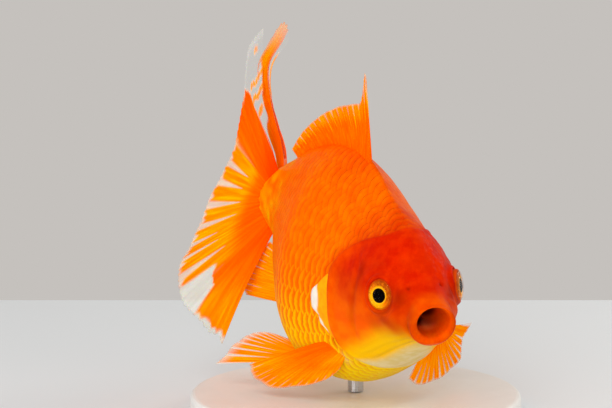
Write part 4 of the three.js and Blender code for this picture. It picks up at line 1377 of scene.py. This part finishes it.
def make_eye(side, sign, out):
    """An eyeball turned about its axis, its pupil a little wide and low, and over it a thin clear
    dome of an elliptical section. out is how far both stand out."""
    radii, heights = np.array(EYEBALL).T
    middle, _, side_way, over = eye_frame(sign)
    rings = turned_about(sign, radii, heights + out)
    pupil = ramp(radii, 2.6, 1.9)[:, None, None]
    offset = rings - middle
    rings = rings + side_way * (0.12 * pupil * (offset @ side_way)[..., None]) - over * (0.2 * pupil)
    points, faces = closed_rings(rings, flip=True)
    far = np.repeat(np.where(heights < -0.3, 1.0, radii / EYE_RADIUS), EYE_AROUND)
    turns = np.arange(EYE_AROUND) / EYE_AROUND
    turns = np.tile(0.5 - turns if sign > 0 else turns, len(radii))
    own = np.concatenate([np.stack([far, turns], -1), [[0, 0], [1, 0]]])
    ball = make_piece(f"eyeball_{side}", placed(points), faces, EYE, uvs={"Eye": own})
    keep(ball, "eye", f"eye_{side}")
    swell = np.linspace(0.02, 1, 14) * math.pi / 2
    outer = np.stack([3.75 * np.sin(swell), -0.35 + 1.2 * np.cos(swell)], -1)
    inner = outer[::-1] - np.array([0.06, 0.14])
    inner[:, 0] = np.maximum(inner[:, 0], 0.03)
    dome = np.concatenate([outer, inner])
    points, faces = closed_rings(turned_about(sign, dome[:, 0], dome[:, 1] + out), flip=True)
    keep(make_piece(f"cornea_{side}", placed(points), faces, CORNEA), "eye")


# Stand, stage, lights and camera ----------------------------------------------------------------


def finish_stand():
    """The stand keeps its CAD nodes, with finished materials."""
    for node, material in (("stand_base", lacquer_material()), ("stand_rod", steel_material())):
        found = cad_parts[node]
        found.data.materials.clear()
        found.data.materials.append(material)


CAMERA_DISTANCE, SENSOR_WIDTH, LENS = 600.0, 36.0, 142.3
CAMERA_TURN, CAMERA_RISE = math.radians(-16), math.radians(8)
# How far the camera's aim is to the left of the fish's pivot and above it, as the camera sees it.
AIM_LEFT, AIM_UP = 18.7, 16.4
AWAY = np.array([
    math.sin(CAMERA_TURN) * math.cos(CAMERA_RISE),
    -math.cos(CAMERA_TURN) * math.cos(CAMERA_RISE),
    math.sin(CAMERA_RISE),
])
RIGHTWARDS = np.array([math.cos(CAMERA_TURN), math.sin(CAMERA_TURN), 0])
UPWARDS = np.cross(AWAY, RIGHTWARDS)
# The table top: half its width, how far it reaches towards the camera and away, and its thickness.
TABLE_HALF, TABLE_NEAR, TABLE_FAR, TABLE_THICK = 900, -1400, 163, 25.0


def make_camera():
    """The camera, square to its own line of sight, with no shift."""
    data = bpy.data.cameras.new("camera")
    data.sensor_width = SENSOR_WIDTH
    data.lens = LENS
    data.clip_start, data.clip_end = 0.01, 20.0
    made = bpy.data.objects.new("camera", data)
    place = OVER_STAND + AWAY * CAMERA_DISTANCE - RIGHTWARDS * AIM_LEFT + UPWARDS * AIM_UP
    turned = Matrix([[*RIGHTWARDS], [*UPWARDS], [*AWAY]]).transposed()
    made.matrix_world = Matrix.Translation(Vector(place * MM)) @ turned.to_4x4()
    bpy.context.scene.collection.objects.link(made)
    bpy.context.scene.camera = made


def make_floor():
    """A plain white table top, its far edge square to the camera's heading."""
    across = unit(np.array([RIGHTWARDS[0], RIGHTWARDS[1], 0]))
    ahead = np.array([-across[1], across[0], 0])
    left, right = -TABLE_HALF, TABLE_HALF
    corners = [(left, TABLE_NEAR), (right, TABLE_NEAR), (right, TABLE_FAR), (left, TABLE_FAR)]
    top = [across * a + ahead * b for a, b in corners]
    points = np.array(top + [p - np.array([0, 0, TABLE_THICK]) for p in top])
    faces = [[0, 1, 2, 3], [7, 6, 5, 4]] + [[4 + k, 4 + (k + 1) % 4, (k + 1) % 4, k] for k in range(4)]
    made = make_piece("floor", points, faces, floor_material())
    made.data.shade_flat()


def make_light(name, place, size, power, colour=(1, 1, 1)):
    """A soft square light at a place in millimetres, looking at the fish's middle. Its size is in
    metres and its power in watts."""
    data = bpy.data.lights.new(name, "AREA")
    data.size = size
    data.energy = power
    data.color = colour
    made = bpy.data.objects.new(name, data)
    spot = Vector(np.array(place) * MM)
    aim = Vector((0, 0, 45 * MM)) - spot
    made.matrix_world = Matrix.Translation(spot) @ aim.to_track_quat("-Z", "Y").to_matrix().to_4x4()
    bpy.context.scene.collection.objects.link(made)


def make_lights():
    """A large soft light above and in front on the right flank's side, a low one under it, a faint one
    for the belly, a fill from the left, a faint one on the far side, and pale grey all round."""
    make_light("key", (-420, -620, 560), 0.55, 3.6, (1.0, 0.985, 0.96))
    make_light("low", (-330, -600, 60), 0.3, 1.1)
    make_light("belly", (-260, -190, 20), 0.16, 0.2)
    make_light("fill", (420, -760, 260), 0.6, 0.9)
    make_light("back", (420, 40, 260), 0.25, 0.6, (1.0, 0.94, 0.86))
    world = bpy.data.worlds.new("pale_grey")
    world.use_nodes = True
    ground = world.node_tree.nodes["Background"]
    ground.inputs["Color"].default_value = display(197, 193, 189)
    ground.inputs["Strength"].default_value = 1.0
    bpy.context.scene.world = world


SKIN = skin_material()
SCALES = scale_material()
FIN = fin_material()
MEMBRANE = membrane_material()
EYE = eye_material()
CORNEA = cornea_material()

make_skin()
make_fins()
for SIDE, SIGN in (("left", 1), ("right", -1)):
    make_scales(SIDE, SIGN)
    make_gill_membrane(SIDE, SIGN)
    make_eye(SIDE, SIGN, 0.5 if SIGN > 0 else 0)
finish_stand()
make_floor()
make_lights()
make_camera()
bpy.context.scene.view_settings.view_transform = "Standard"
